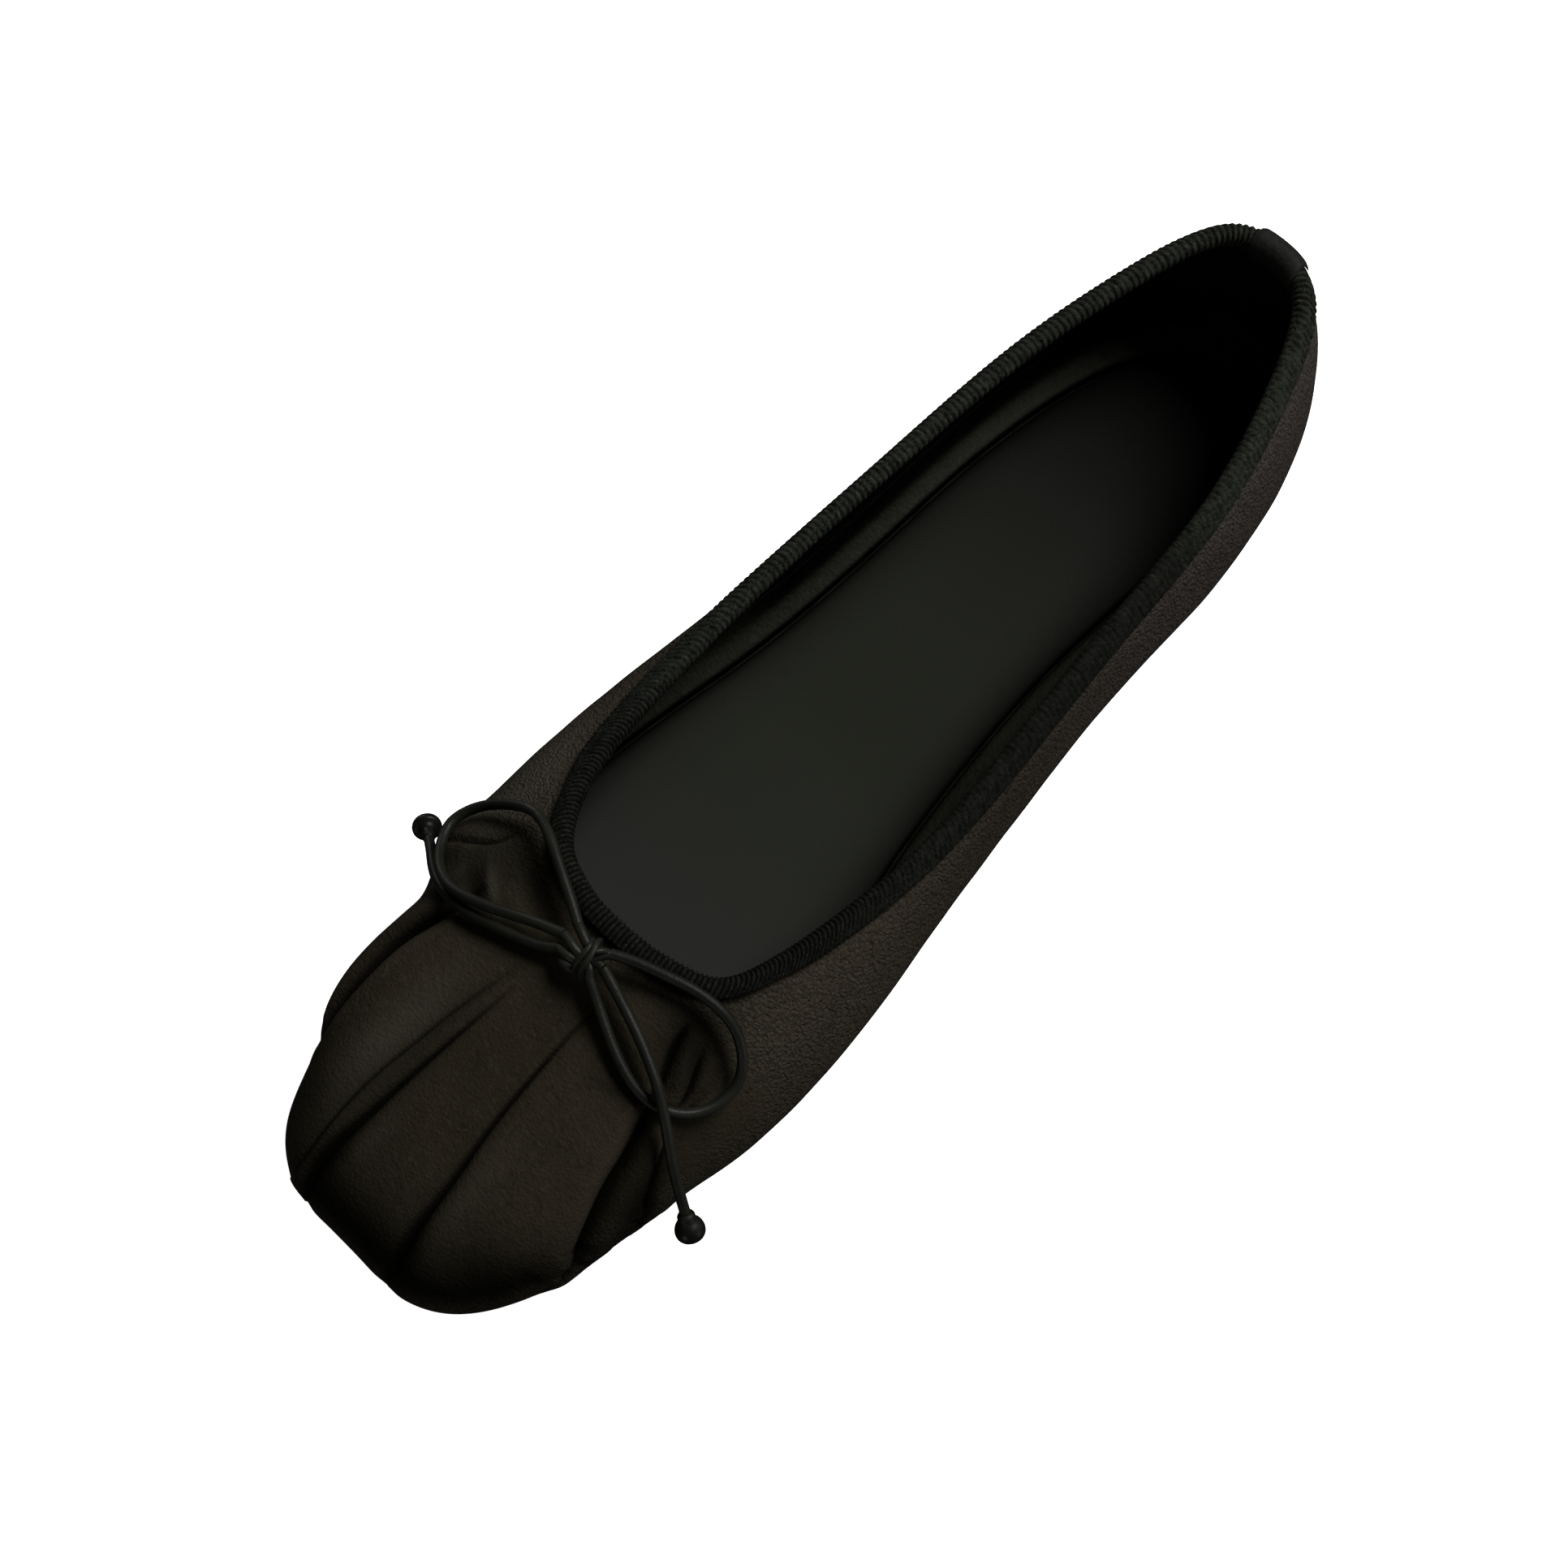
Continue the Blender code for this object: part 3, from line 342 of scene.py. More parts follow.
# Each softbox: azimuth and elevation in degrees, distance and size in metres, and watts
SOFTBOXES = {
    "key softbox": (163.0, 56.0, 1.3, 0.6, 22.5),
    "medial softbox": (106.0, 10.0, 1.4, 0.5, 3.3),
    "lateral softbox": (252.0, 10.0, 1.4, 0.5, 3.9),
    "toe softbox": (15.0, 5.0, 1.4, 0.4, 2.4),
}
DOME_STRENGTH = 0.05
FLOOR_REACH = 3.0


def towards(azimuth, elevation):
    """The direction from the shoe to something seen at an azimuth, from the toe round to the medial side,
    and an elevation."""
    turn, rise = math.radians(azimuth), math.radians(elevation)
    return Vector((math.sin(turn) * math.cos(rise), -math.cos(turn) * math.cos(rise), math.sin(rise)))


def added(name, data):
    """An object in the scene that shows a mesh, a lamp or a camera."""
    thing = bpy.data.objects.new(name, data)
    bpy.context.scene.collection.objects.link(thing)
    return thing


def add_camera():
    lens = bpy.data.cameras.new("camera")
    lens.sensor_width = 36.0
    lens.lens = 36.0 * FOCAL_SHARE
    lens.clip_start = 0.01
    camera = added("camera", lens)
    back = towards(CAMERA_AZIMUTH, CAMERA_ELEVATION)
    camera.location = CAMERA_AIM + back * CAMERA_DISTANCE
    camera.rotation_euler = back.to_track_quat("Z", "Y").to_euler()
    bpy.context.scene.camera = camera


def add_softbox(name, azimuth, elevation, distance, size, watts):
    box = bpy.data.lights.new(name, "AREA")
    box.shape = "DISK"
    box.size = size
    box.energy = watts
    lamp = added(name, box)
    back = towards(azimuth, elevation)
    lamp.location = back * distance
    lamp.rotation_euler = back.to_track_quat("Z", "Y").to_euler()


def add_studio():
    """A white paper floor and backdrop, a soft key light over the heel, and weak lights low round the shoe."""
    world = bpy.data.worlds.new("studio")
    world.use_nodes = True
    nodes, links = world.node_tree.nodes, world.node_tree.links
    dome = nodes["Background"]
    dome.inputs["Color"].default_value = (1.0, 1.0, 1.0, 1.0)
    seen = nodes.new("ShaderNodeMapRange")
    seen.inputs["To Min"].default_value = DOME_STRENGTH
    seen.inputs["To Max"].default_value = 1.0
    links.new(nodes.new("ShaderNodeLightPath").outputs["Is Camera Ray"], seen.inputs["Value"])
    links.new(seen.outputs["Result"], dome.inputs["Strength"])
    bpy.context.scene.world = world
    bpy.context.scene.view_settings.view_transform = "Standard"
    for name, softbox in SOFTBOXES.items():
        add_softbox(name, *softbox)
    plane = bpy.data.meshes.new("floor")
    corners = [(x * FLOOR_REACH, y * FLOOR_REACH, 0.0) for x, y in ((-1, -1), (1, -1), (1, 1), (-1, 1))]
    plane.from_pydata(corners, [], [(0, 1, 2, 3)])
    floor = added("floor", plane)
    floor.visible_diffuse = False
    floor.visible_glossy = False
    paper = Finish("white paper floor", (0.86, 0.86, 0.86), 0.9)
    paper.feed(paper.shader, "Emission Color", (1.0, 1.0, 1.0, 1.0))
    paper.feed(paper.shader, "Emission Strength", 0.96)
    plane.materials.append(paper.material)


# Finishes

class NodeTree:
    """A tree of nodes, put together a node at a time."""

    def feed(self, node, socket, value):
        """Link a node's input to another node's output, or give it a plain value."""
        if isinstance(value, bpy.types.NodeSocket):
            self.tree.links.new(value, node.inputs[socket])
        else:
            node.inputs[socket].default_value = value

    def add(self, kind, inputs=None, **settings):
        """A node with its properties and its inputs."""
        node = self.tree.nodes.new(kind)
        for key, value in settings.items():
            setattr(node, key, value)
        for socket, value in (inputs or {}).items():
            self.feed(node, socket, value)
        return node

    def maths(self, operation, *values):
        return self.add("ShaderNodeMath", dict(enumerate(values)), operation=operation).outputs[0]


class Finish(NodeTree):
    """One finish of the shoe. What is the same all over is set on the shader itself."""

    def __init__(self, name, colour, roughness, specular=0.5):
        self.material = bpy.data.materials.new(name)
        self.material.use_nodes = True
        self.tree = self.material.node_tree
        self.shader = self.tree.nodes["Principled BSDF"]
        self.normal = None
        self.feed(self.shader, "Base Color", (*colour, 1.0))
        self.feed(self.shader, "Roughness", roughness)
        self.feed(self.shader, "Specular IOR Level", specular)

    def spot(self):
        """Where a point lies on the shoe."""
        return self.add("ShaderNodeTexCoord").outputs["Object"]

    def stretched(self, stretch, turn=0.0):
        """Where a point lies, stretched, and turned in plan, for a pattern with a direction."""
        inputs = {"Vector": self.spot(), "Scale": stretch, "Rotation": (0.0, 0.0, math.radians(turn))}
        return self.add("ShaderNodeMapping", inputs).outputs[0]

    def from_toe_to_heel(self):
        """The place along the shoe, in metres from its middle."""
        return self.add("ShaderNodeSeparateXYZ", {"Vector": self.spot()}).outputs["Y"]

    def attribute(self, name):
        return self.add("ShaderNodeAttribute", attribute_name=name).outputs["Fac"]

    def mottle(self, size, detail=3.0, roughness=0.55, where=None, distortion=0.0):
        """Soft cloudy noise with spots of about a size."""
        inputs = {"Vector": where or self.spot(), "Scale": 0.5 / size, "Detail": detail}
        inputs.update({"Roughness": roughness, "Distortion": distortion})
        return self.add("ShaderNodeTexNoise", inputs).outputs["Fac"]

    def disturbed(self, where, size, amount):
        """Places pushed about by soft noise, which makes an even pattern irregular."""
        noise = self.add("ShaderNodeTexNoise", {"Vector": where, "Scale": 0.5 / size, "Detail": 3.0})
        inputs = {0: noise.outputs["Color"], 1: (amount, amount, amount), 2: where}
        return self.add("ShaderNodeVectorMath", inputs, operation="MULTIPLY_ADD").outputs["Vector"]

    def pebbles(self, size, where=None):
        """The cells of a leather's grain, lowest in each cell's middle."""
        cells = self.add("ShaderNodeTexVoronoi", {"Vector": where or self.spot(), "Scale": 1.0 / size})
        return cells.outputs["Distance"]

    def ranged(self, value, low, high, to_low=0.0, to_high=1.0):
        """A value's range from low to high, spread to another range and held inside it."""
        inputs = {"Value": value, "From Min": low, "From Max": high, "To Min": to_low, "To Max": to_high}
        return self.add("ShaderNodeMapRange", inputs).outputs["Result"]

    def blend(self, share, first, second):
        """Two colours, each a triple or another node's output, mixed by a share."""
        node = self.add("ShaderNodeMix", {"Factor": share}, data_type="RGBA")
        for socket, colour in (("A", first), ("B", second)):
            index = [s.name == socket and s.type == "RGBA" for s in node.inputs].index(True)
            self.feed(node, index, colour if isinstance(colour, bpy.types.NodeSocket) else (*colour, 1.0))
        return [s for s in node.outputs if s.type == "RGBA"][0]

    def toned(self, share, first, second):
        """The finish's tone is two colours mixed by a share."""
        self.tone = self.blend(share, first, second)
        self.feed(self.shader, "Base Color", self.tone)

    def over(self, share, colour):
        """A colour is laid by a share over the tone that is there already."""
        self.toned(share, self.tone, colour)

    def roughness(self, value):
        self.feed(self.shader, "Roughness", value)

    def emboss(self, height, depth, strength=1.0):
        """Relief of a depth in metres, laid over the relief that is there already."""
        bump = self.add("ShaderNodeBump", {"Height": height, "Distance": depth, "Strength": strength})
        if self.normal:
            self.feed(bump, "Normal", self.normal)
        self.normal = bump.outputs["Normal"]
        self.feed(self.shader, "Normal", self.normal)


def upper_leather():
    """Soft black leather with a rubbed, scratchy grain, with painted shade where it lies in shade and painted
    highlights where the light catches it. The walls are coarser and paler than the panels of the toe."""
    leather = Finish("soft black leather", (0.023, 0.020, 0.013), 0.8, 0.02)
    relief, shade, wear_and_painted_sheen, coarse = (leather.attribute(name) for name in ("relief", "shade", "wear_and_painted_sheen", "coarse"))
    clouds = leather.mottle(26 * MM, detail=4.0)
    warmth = leather.mottle(9 * MM)
    rubbed = leather.mottle(1.5 * MM, detail=6.0, roughness=0.75, distortion=1.2)
    scratches = leather.mottle(0.8 * MM, detail=4.0, where=leather.stretched((1.0, 3.0, 1.0), 35.0))
    askew = leather.disturbed(leather.stretched((1.0, 1.3, 1.0), 20.0), 1.3 * MM, 2.2 * MM)
    grain = leather.pebbles(0.80 * MM, where=askew)
    cloudy = leather.ranged(clouds, 0.35, 0.68)
    panels = leather.blend(cloudy, (0.0175, 0.0145, 0.0086), (0.0240, 0.0201, 0.0128))
    walls = leather.blend(cloudy, (0.0250, 0.0212, 0.0146), (0.0330, 0.0284, 0.0204))
    leather.toned(coarse, panels, walls)
    leather.over(leather.ranged(warmth, 0.45, 0.75, 0.0, 0.30), (0.0260, 0.0205, 0.0150))
    to_heel = leather.ranged(leather.from_toe_to_heel(), -0.015, 0.075, 0.0, 0.8)
    leather.over(to_heel, (0.0370, 0.0318, 0.0300))
    leather.over(leather.ranged(rubbed, 0.46, 0.34, 0.0, 0.55), (0.0085, 0.0072, 0.0050))
    leather.over(leather.ranged(rubbed, 0.55, 0.70, 0.0, 0.40), (0.0400, 0.0350, 0.0265))
    leather.over(leather.ranged(scratches, 0.58, 0.72, 0.0, 0.35), (0.0400, 0.0350, 0.0285))
    for low, high, on_panels, on_walls, colour in (
        (0.38, 0.70, 0.10, 0.44, (0.0075, 0.0064, 0.0048)),
        (0.28, 0.08, 0.05, 0.36, (0.0620, 0.0560, 0.0460)),
    ):
        amount = leather.ranged(coarse, 0.0, 1.0, on_panels, on_walls)
        leather.over(leather.maths("MULTIPLY", leather.ranged(grain, low, high), amount), colour)
    # Painted shade darkens the folds' valleys, and the ridges between them are paler
    leather.over(leather.ranged(relief, -0.10, -0.85, 0.0, 0.6), (0.0050, 0.0044, 0.0034))
    leather.over(leather.ranged(relief, 0.15, 0.90, 0.0, 0.35), (0.0330, 0.0280, 0.0200))
    # Painted highlight: a pale sheen on the spots where the light catches the leather
    leather.over(wear_and_painted_sheen, (0.0520, 0.0475, 0.0380))
    leather.over(shade, (0.0010, 0.0010, 0.0006))
    leather.roughness(leather.ranged(clouds, 0.3, 0.7, 0.85, 0.70))
    leather.emboss(clouds, 0.9 * MM, 0.35)
    uneven = leather.maths("MULTIPLY", grain, leather.ranged(coarse, 0.0, 1.0, 0.3, 1.0))
    leather.emboss(uneven, 0.42 * MM, 0.9)
    leather.emboss(leather.mottle(0.45 * MM), 0.12 * MM, 0.9)
    leather.emboss(rubbed, 0.22 * MM, 0.6)
    return leather.material


def binding_webbing():
    """The ribbed webbing of the binding, a matt yarn whose fibres catch the light along its ribs."""
    webbing = Finish("ribbed binding webbing", (0.015, 0.0165, 0.0145), 0.8, 0.03)
    rib = webbing.attribute("rib")
    fuzz = webbing.mottle(0.9 * MM, detail=5.0, roughness=0.75, distortion=0.8)
    fibres = webbing.mottle(0.5 * MM, where=webbing.stretched((1.0, 2.5, 1.0)), distortion=1.5)
    webbing.toned(webbing.ranged(fuzz, 0.42, 0.60), (0.0038, 0.0043, 0.0031), (0.0150, 0.0168, 0.0128))
    webbing.over(webbing.ranged(fibres, 0.54, 0.64, 0.0, 0.7), (0.0350, 0.0385, 0.0300))
    # Painted highlight on the ribs' crests and painted shade in the gaps between them
    webbing.over(webbing.ranged(rib, 0.85, 1.0, 0.0, 0.25), (0.0230, 0.0255, 0.0200))
    webbing.over(webbing.ranged(rib, 0.66, 0.25, 0.0, 0.95), (0.0014, 0.0015, 0.0011))
    webbing.over(webbing.attribute("shade"), (0.0010, 0.0011, 0.0009))
    webbing.emboss(fuzz, 0.42 * MM, 0.9)
    webbing.emboss(webbing.pebbles(0.42 * MM), 0.10 * MM, 0.6)
    return webbing.material


def drawcord_yarn():
    """The round drawcord, close woven, waxed and a little glossy."""
    yarn = Finish("waxed drawcord", (0.007, 0.0074, 0.0058), 0.36, 0.10)
    wear_and_painted_sheen = yarn.mottle(5 * MM)
    yarn.toned(yarn.ranged(wear_and_painted_sheen, 0.35, 0.7), (0.0052, 0.0055, 0.0040), (0.0100, 0.0104, 0.0080))
    yarn.roughness(yarn.ranged(wear_and_painted_sheen, 0.3, 0.7, 0.50, 0.40))
    yarn.emboss(yarn.pebbles(0.30 * MM), 0.05 * MM, 0.6)
    yarn.emboss(yarn.mottle(0.9 * MM), 0.10 * MM, 0.5)
    return yarn.material


def lining_leather():
    """The thin dark leather of the lining and the ledge, with a fine pebbled grain."""
    lining = Finish("dark lining leather", (0.015, 0.016, 0.0105), 0.6, 0.05)
    clouds = lining.mottle(14 * MM, detail=4.0)
    rubbed = lining.mottle(1.4 * MM, detail=6.0, roughness=0.75, distortion=1.4)
    lining.toned(lining.ranged(clouds, 0.35, 0.7), (0.0078, 0.0084, 0.0052), (0.0142, 0.0152, 0.0100))
    lining.over(lining.ranged(rubbed, 0.46, 0.34, 0.0, 0.5), (0.0040, 0.0044, 0.0024))
    lining.over(lining.ranged(rubbed, 0.56, 0.70, 0.0, 0.5), (0.0260, 0.0275, 0.0190))
    lining.over(lining.attribute("shade"), (0.0004, 0.0005, 0.0003))
    lining.emboss(lining.pebbles(0.9 * MM), 0.14 * MM, 0.8)
    lining.emboss(rubbed, 0.25 * MM, 0.7)
    lining.emboss(clouds, 0.8 * MM, 0.3)
    return lining.material


def footbed_leather():
    """The smooth matt cover of the padded sock, with painted shade toward its edge and toward the heel, and a
    painted highlight toward the toe.
    """
    cover = Finish("smooth footbed leather", (0.0125, 0.0133, 0.0112), 0.6, 0.02)
    clouds = cover.mottle(40 * MM, detail=2.0)
    cover.toned(cover.ranged(clouds, 0.3, 0.7), (0.0132, 0.0143, 0.0104), (0.0153, 0.0165, 0.0127))
    # Painted highlight: paler and greyer toward the toe
    cover.over(cover.ranged(cover.from_toe_to_heel(), -0.018, -0.060), (0.0195, 0.0197, 0.0187))
    cover.over(cover.attribute("shade"), (0.0008, 0.0009, 0.0007))
    cover.roughness(cover.ranged(clouds, 0.3, 0.7, 0.62, 0.52))
    cover.emboss(cover.pebbles(0.30 * MM), 0.03 * MM, 0.5)
    cover.emboss(cover.mottle(0.5 * MM), 0.03 * MM, 0.5)
    return cover.material


def joining_tape():
    """The close, smooth tape over the binding's join."""
    tape = Finish("smooth joining tape", (0.008, 0.0088, 0.0072), 0.6, 0.05)
    weave = tape.mottle(0.5 * MM, detail=2.0, where=tape.stretched((1.0, 1.0, 3.0)))
    tape.toned(tape.ranged(weave, 0.35, 0.7), (0.0060, 0.0066, 0.0052), (0.0105, 0.0115, 0.0095))
    tape.emboss(weave, 0.08 * MM, 0.7)
    return tape.material


def stopper_lacquer():
    """The dark lacquered metal of the cord's stoppers, rubbed here and there."""
    lacquer = Finish("black stopper lacquer", (0.005, 0.005, 0.004), 0.38, 0.10)
    rubbed = lacquer.mottle(1.6 * MM)
    lacquer.toned(lacquer.ranged(rubbed, 0.5, 0.75), (0.0035, 0.0035, 0.0026), (0.0095, 0.0090, 0.0070))
    lacquer.roughness(lacquer.ranged(rubbed, 0.3, 0.7, 0.36, 0.52))
    lacquer.emboss(lacquer.mottle(0.5 * MM), 0.04 * MM, 0.5)
    return lacquer.material


def sole_rubber():
    """Dull black rubber, lightly speckled."""
    rubber = Finish("dull sole rubber", (0.017, 0.0165, 0.016), 0.6, 0.4)
    specks = rubber.mottle(0.8 * MM, detail=2.0)
    rubbed = rubber.mottle(18 * MM, detail=4.0)
    rubber.toned(rubber.ranged(rubbed, 0.35, 0.7), (0.0130, 0.0125, 0.0120), (0.0230, 0.0220, 0.0210))
    rubber.over(rubber.ranged(specks, 0.6, 0.75, 0.0, 0.5), (0.0400, 0.0390, 0.0370))
    rubber.roughness(rubber.ranged(rubbed, 0.3, 0.7, 0.52, 0.70))
    rubber.emboss(specks, 0.06 * MM, 0.6)
    return rubber.material


def insole_board():
    """Pressed fibre board, dyed black, seen only if the sock is lifted."""
    board = Finish("pressed fibre board", (0.006, 0.006, 0.005), 0.9, 0.02)
    fibre = board.mottle(0.9 * MM, detail=4.0, where=board.stretched((1.0, 0.3, 1.0)))
    board.toned(board.ranged(fibre, 0.35, 0.7), (0.0035, 0.0035, 0.0028), (0.0085, 0.0085, 0.0070))
    board.emboss(fibre, 0.1 * MM, 0.6)
    return board.material


# The last and the lines of the upper

Shell = namedtuple("Shell", "face normals edge inward ledge")


def smooth_step(t):
    """0 before t = 0, 1 after t = 1, with no corner between."""
    t = np.clip(t, 0.0, 1.0)
    return t * t * (3.0 - 2.0 * t)


def rising(values, start, over):
    """0 up to a start and 1 beyond it by a distance, both in millimetres, with no corner between."""
    return smooth_step((values - start * MM) / (over * MM))


def run_along(line, power=1.0):
    """How far each point of a line lies from its start. A power under 1 evens out long and short steps."""
    steps = np.linalg.norm(np.diff(line, axis=0), axis=1) ** power
    return np.concatenate([[0.0], np.cumsum(steps)])


def points_at(places, run, line):
    """Points of a line at places along its run."""
    return np.stack([np.interp(places, run, line[:, axis]) for axis in range(3)], axis=-1)


def sole_underside(station):
    """Height of the sole's underside: over the heel, down the shank, flat, then up the toe spring."""
    down = smooth_step((np.asarray(station) - HEEL_BREAST) / (SHANK_END - HEEL_BREAST))
    spring = np.clip((station - SPRING_START) / (LENGTH - SPRING_START), 0.0, None)
    return HEEL_LIFT * (1.0 - down) + TOE_SPRING * spring**2


def spline(knots, values, at, closed):
    """A cubic spline through values at knots. A closed one ends where it began, at the last knot."""
    knots, values = np.asarray(knots, float), np.asarray(values, float)
    gaps = np.diff(knots)
    count = len(gaps) if closed else len(knots)
    system, right = np.zeros((count, count)), np.zeros((count, values.shape[1]))
    slopes = np.diff(values, axis=0) / gaps[:, None]
    for i in range(count) if closed else range(1, count - 1):
        before, after = gaps[i - 1], gaps[i % len(gaps)]
        system[i, (i - 1) % count] += before
        system[i, i] += 2.0 * (before + after)
        system[i, (i + 1) % count] += after
        right[i] = 6.0 * (slopes[i % len(gaps)] - slopes[i - 1])
    if not closed:
        system[0, 0] = system[-1, -1] = 1.0
    bends = np.linalg.solve(system, right)
    if closed:
        bends = np.vstack([bends, bends[:1]])
    span = np.clip(np.searchsorted(knots, at, side="right") - 1, 0, len(gaps) - 1)
    gap = gaps[span][:, None]
    ahead = (knots[span + 1] - at)[:, None]
    behind = (at - knots[span])[:, None]
    curve = (bends[span] * ahead**3 + bends[span + 1] * behind**3) / (6.0 * gap)
    curve += (values[span] / gap - bends[span] * gap / 6.0) * ahead
    return curve + (values[span + 1] / gap - bends[span + 1] * gap / 6.0) * behind


def smooth_between(lines, count):
    """More lines than the given ones, on smooth curves across them."""
    stack = np.array(lines)
    made = np.empty((count, *stack.shape[1:]))
    for column in range(stack.shape[1]):
        run = run_along(stack[:, column], power=0.5)
        made[:, column] = spline(run, stack[:, column], np.linspace(0.0, 1.0, count) * run[-1], closed=False)
    return made


def rails():
    """The lines that run round the upper, a point for each section: insets of the sole's edge and of the
    ledge, the widest line, two lines of the wall and the collar."""
    rows = [dict(zip(SECTION_COLUMNS, row)) for row in SECTIONS]
    around = [(row, 1.0, "medial", "feather_m", "collar_m", "ledge_m") for row in rows]
    around += [(row, -1.0, "lateral", "feather_l", "collar_l", "ledge_l") for row in rows[-2:0:-1]]
    made = []
    for row, side, wide, feather, collar, ledge in around:
        station = row["station"] * LENGTH
        widest = np.array([side * row[wide] * BALL_WIDTH / 2, station, 0.0])
        widest[2] = sole_underside(station) + FLOOR + row["bulge"] * BULGE_HEIGHT
        top = np.array([side * row[collar] * COLLAR_WIDTH / 2, row["collar"] * THROAT_STATION, SIDE_HEIGHT])
        top[2] += row["heel"] * (HEEL_HEIGHT - SIDE_HEIGHT) + row["throat"] * (THROAT_HEIGHT - SIDE_HEIGHT)
        way = top - widest
        low = widest + way * [row["low_in"], row["low_in"], row["low_up"]]
        high = widest + way * [row["high_in"], row["high_in"], row["high_up"]]
        insets = np.array([row[feather] * FEATHER_INSET, row[ledge] * LEDGE_WIDTH])
        made.append((insets, widest, low, high, top))
    return [np.array(column) for column in zip(*made)]


def inward_normals(line):
    """Unit vectors in plan that point to the inside of a closed line that runs up the medial side."""
    along = np.roll(line, -1, axis=0) - np.roll(line, 1, axis=0)
    inward = np.stack([-along[:, 1], along[:, 0], np.zeros(len(line))], axis=1)
    return inward / np.linalg.norm(inward, axis=1)[:, None]


def section_knots(widest):
    """Where each section comes along the outline, the same for both sides, wider spread at the toe."""
    half = len(SECTIONS)
    mean = np.abs(widest[:half])
    mean[1:-1, 0] = (mean[1:-1, 0] + np.abs(widest[half:][::-1][:, 0])) / 2
    crowding = 1.0 + 0.8 * smooth_step((mean[1:, 1] / LENGTH - 0.72) / 0.12)
    steps = np.linalg.norm(np.diff(mean[:, :2], axis=0), axis=1) ** 0.5 * crowding
    return np.concatenate([[0.0], np.cumsum(np.concatenate([steps, steps[::-1]]))])


def lasted_shell():
    """The upper before it is folded: its outer face, in rows of points from the sole's edge to the collar, the
    face's normals, the line of the sole's edge, its inward normals, and the ledge's width all round."""
    insets, widest, low, high, top = rails()
    knots = section_knots(widest)
    share = np.linspace(0.0, 1.0, COLUMNS_PER_SIDE + 1)
    side = knots[-1] / 2 * (1.3 * share - 0.3 * share**2)
    places = np.concatenate([side, knots[-1] - side[-2:0:-1]])

    def around(values):
        return spline(knots, np.vstack([values, values[:1]]), places, closed=True)

    widest_line = around(widest)
    inward = inward_normals(widest_line)
    inset, ledge = around(insets).T[..., None]
    edge = moved_in(widest_line, inward, inset, FLOOR)
    face = smooth_between([edge, widest_line, around(low), around(high), around(top)], FACE_ROWS)
    low, high = face.min(axis=(0, 1)), face.max(axis=(0, 1))
    for line in (face, edge):
        line[..., 0] = (line[..., 0] - (low[0] + high[0]) / 2) * BALL_WIDTH / (high[0] - low[0])
        line[..., 1] = (line[..., 1] - low[1]) * LENGTH / (high[1] - low[1])
    return Shell(face, outward_normals(face), edge, inward, ledge)


def outward_normals(face):
    """Unit normals of the outer face, pointing away from the foot."""
    around = np.roll(face, -1, axis=1) - np.roll(face, 1, axis=1)
    normal = np.cross(around, np.gradient(face, axis=0))
    return normal / np.linalg.norm(normal, axis=2)[..., None]


def moved_in(line, inward, inset, height):
    """A line moved inboard in plan, and set at a height over the sole's underside."""
    ring = line + inward * inset
    ring[:, 2] = sole_underside(ring[:, 1]) + height
    return ring


def lining_of(shell, depth):
    """The wall's face moved in by a depth, from the top of the lasting margin to the collar."""
    rows = shell.face - shell.normals * depth
    rows[0] = moved_in(shell.edge, shell.inward, WALL + (depth - WALL) * 2, FLOOR + depth)
    return rows


def line_at_height(rows, height):
    """The line on the rows of a lining at a height over the sole's underside."""
    over = rows[..., 2] - sole_underside(rows[..., 1])
    heights = np.broadcast_to(height, rows.shape[1])
    return np.array([points_at(heights[i], over[:, i], rows[:, i]) for i in range(len(heights))])


def below_collar(shell, down):
    """Points and normals of the face at a distance down from the collar."""
    face, normals = shell.face[::-1], shell.normals[::-1]
    points, facing = np.empty((2, *face.shape[1:]))
    for column, distance in enumerate(np.broadcast_to(down, len(points))):
        run = run_along(face[:, column])
        points[column] = points_at(distance, run, face[:, column])
        facing[column] = points_at(distance, run, normals[:, column])
    return points, facing / np.linalg.norm(facing, axis=1)[:, None]


def folded_over_collar(shell, gap, outside, inside, angles):
    """Lines of a skin folded over the collar at a gap from the wall, from the outside to the inside."""
    lines = []
    for down in outside:
        points, facing = below_collar(shell, down)
        lines.append(points + facing * gap)
    top, facing = below_collar(shell, 0.0)
    up = top - shell.face[-2]
    up -= facing * (up * facing).sum(axis=1)[:, None]
    up /= np.linalg.norm(up, axis=1)[:, None]
    for angle in np.radians(angles):
        turned = facing * math.cos(angle) + up * math.sin(angle)
        lines.append(top - facing * WALL / 2 + turned * (gap + WALL / 2))
    for down in inside:
        points, facing = below_collar(shell, down)
        lines.append(points - facing * (WALL + gap))
    return lines


# Making pieces

def place(points):
    """From the shoe's own measures to the world."""
    points = np.asarray(points)
    return np.stack([points[..., 0], LENGTH / 2 - points[..., 1], points[..., 2]], axis=-1)


def bridged(ring_count, size, closed_across=True):
    """Quads between closed rings of equal size. closed_across joins the last ring to the first."""
    rings = np.arange(ring_count if closed_across else ring_count - 1)[:, None]
    steps = np.arange(size)[None, :]
    following, after = (rings + 1) % ring_count, (steps + 1) % size
    corners = (rings * size + steps, rings * size + after, following * size + after, following * size + steps)
    return np.stack(corners, axis=-1).reshape(-1, 4)


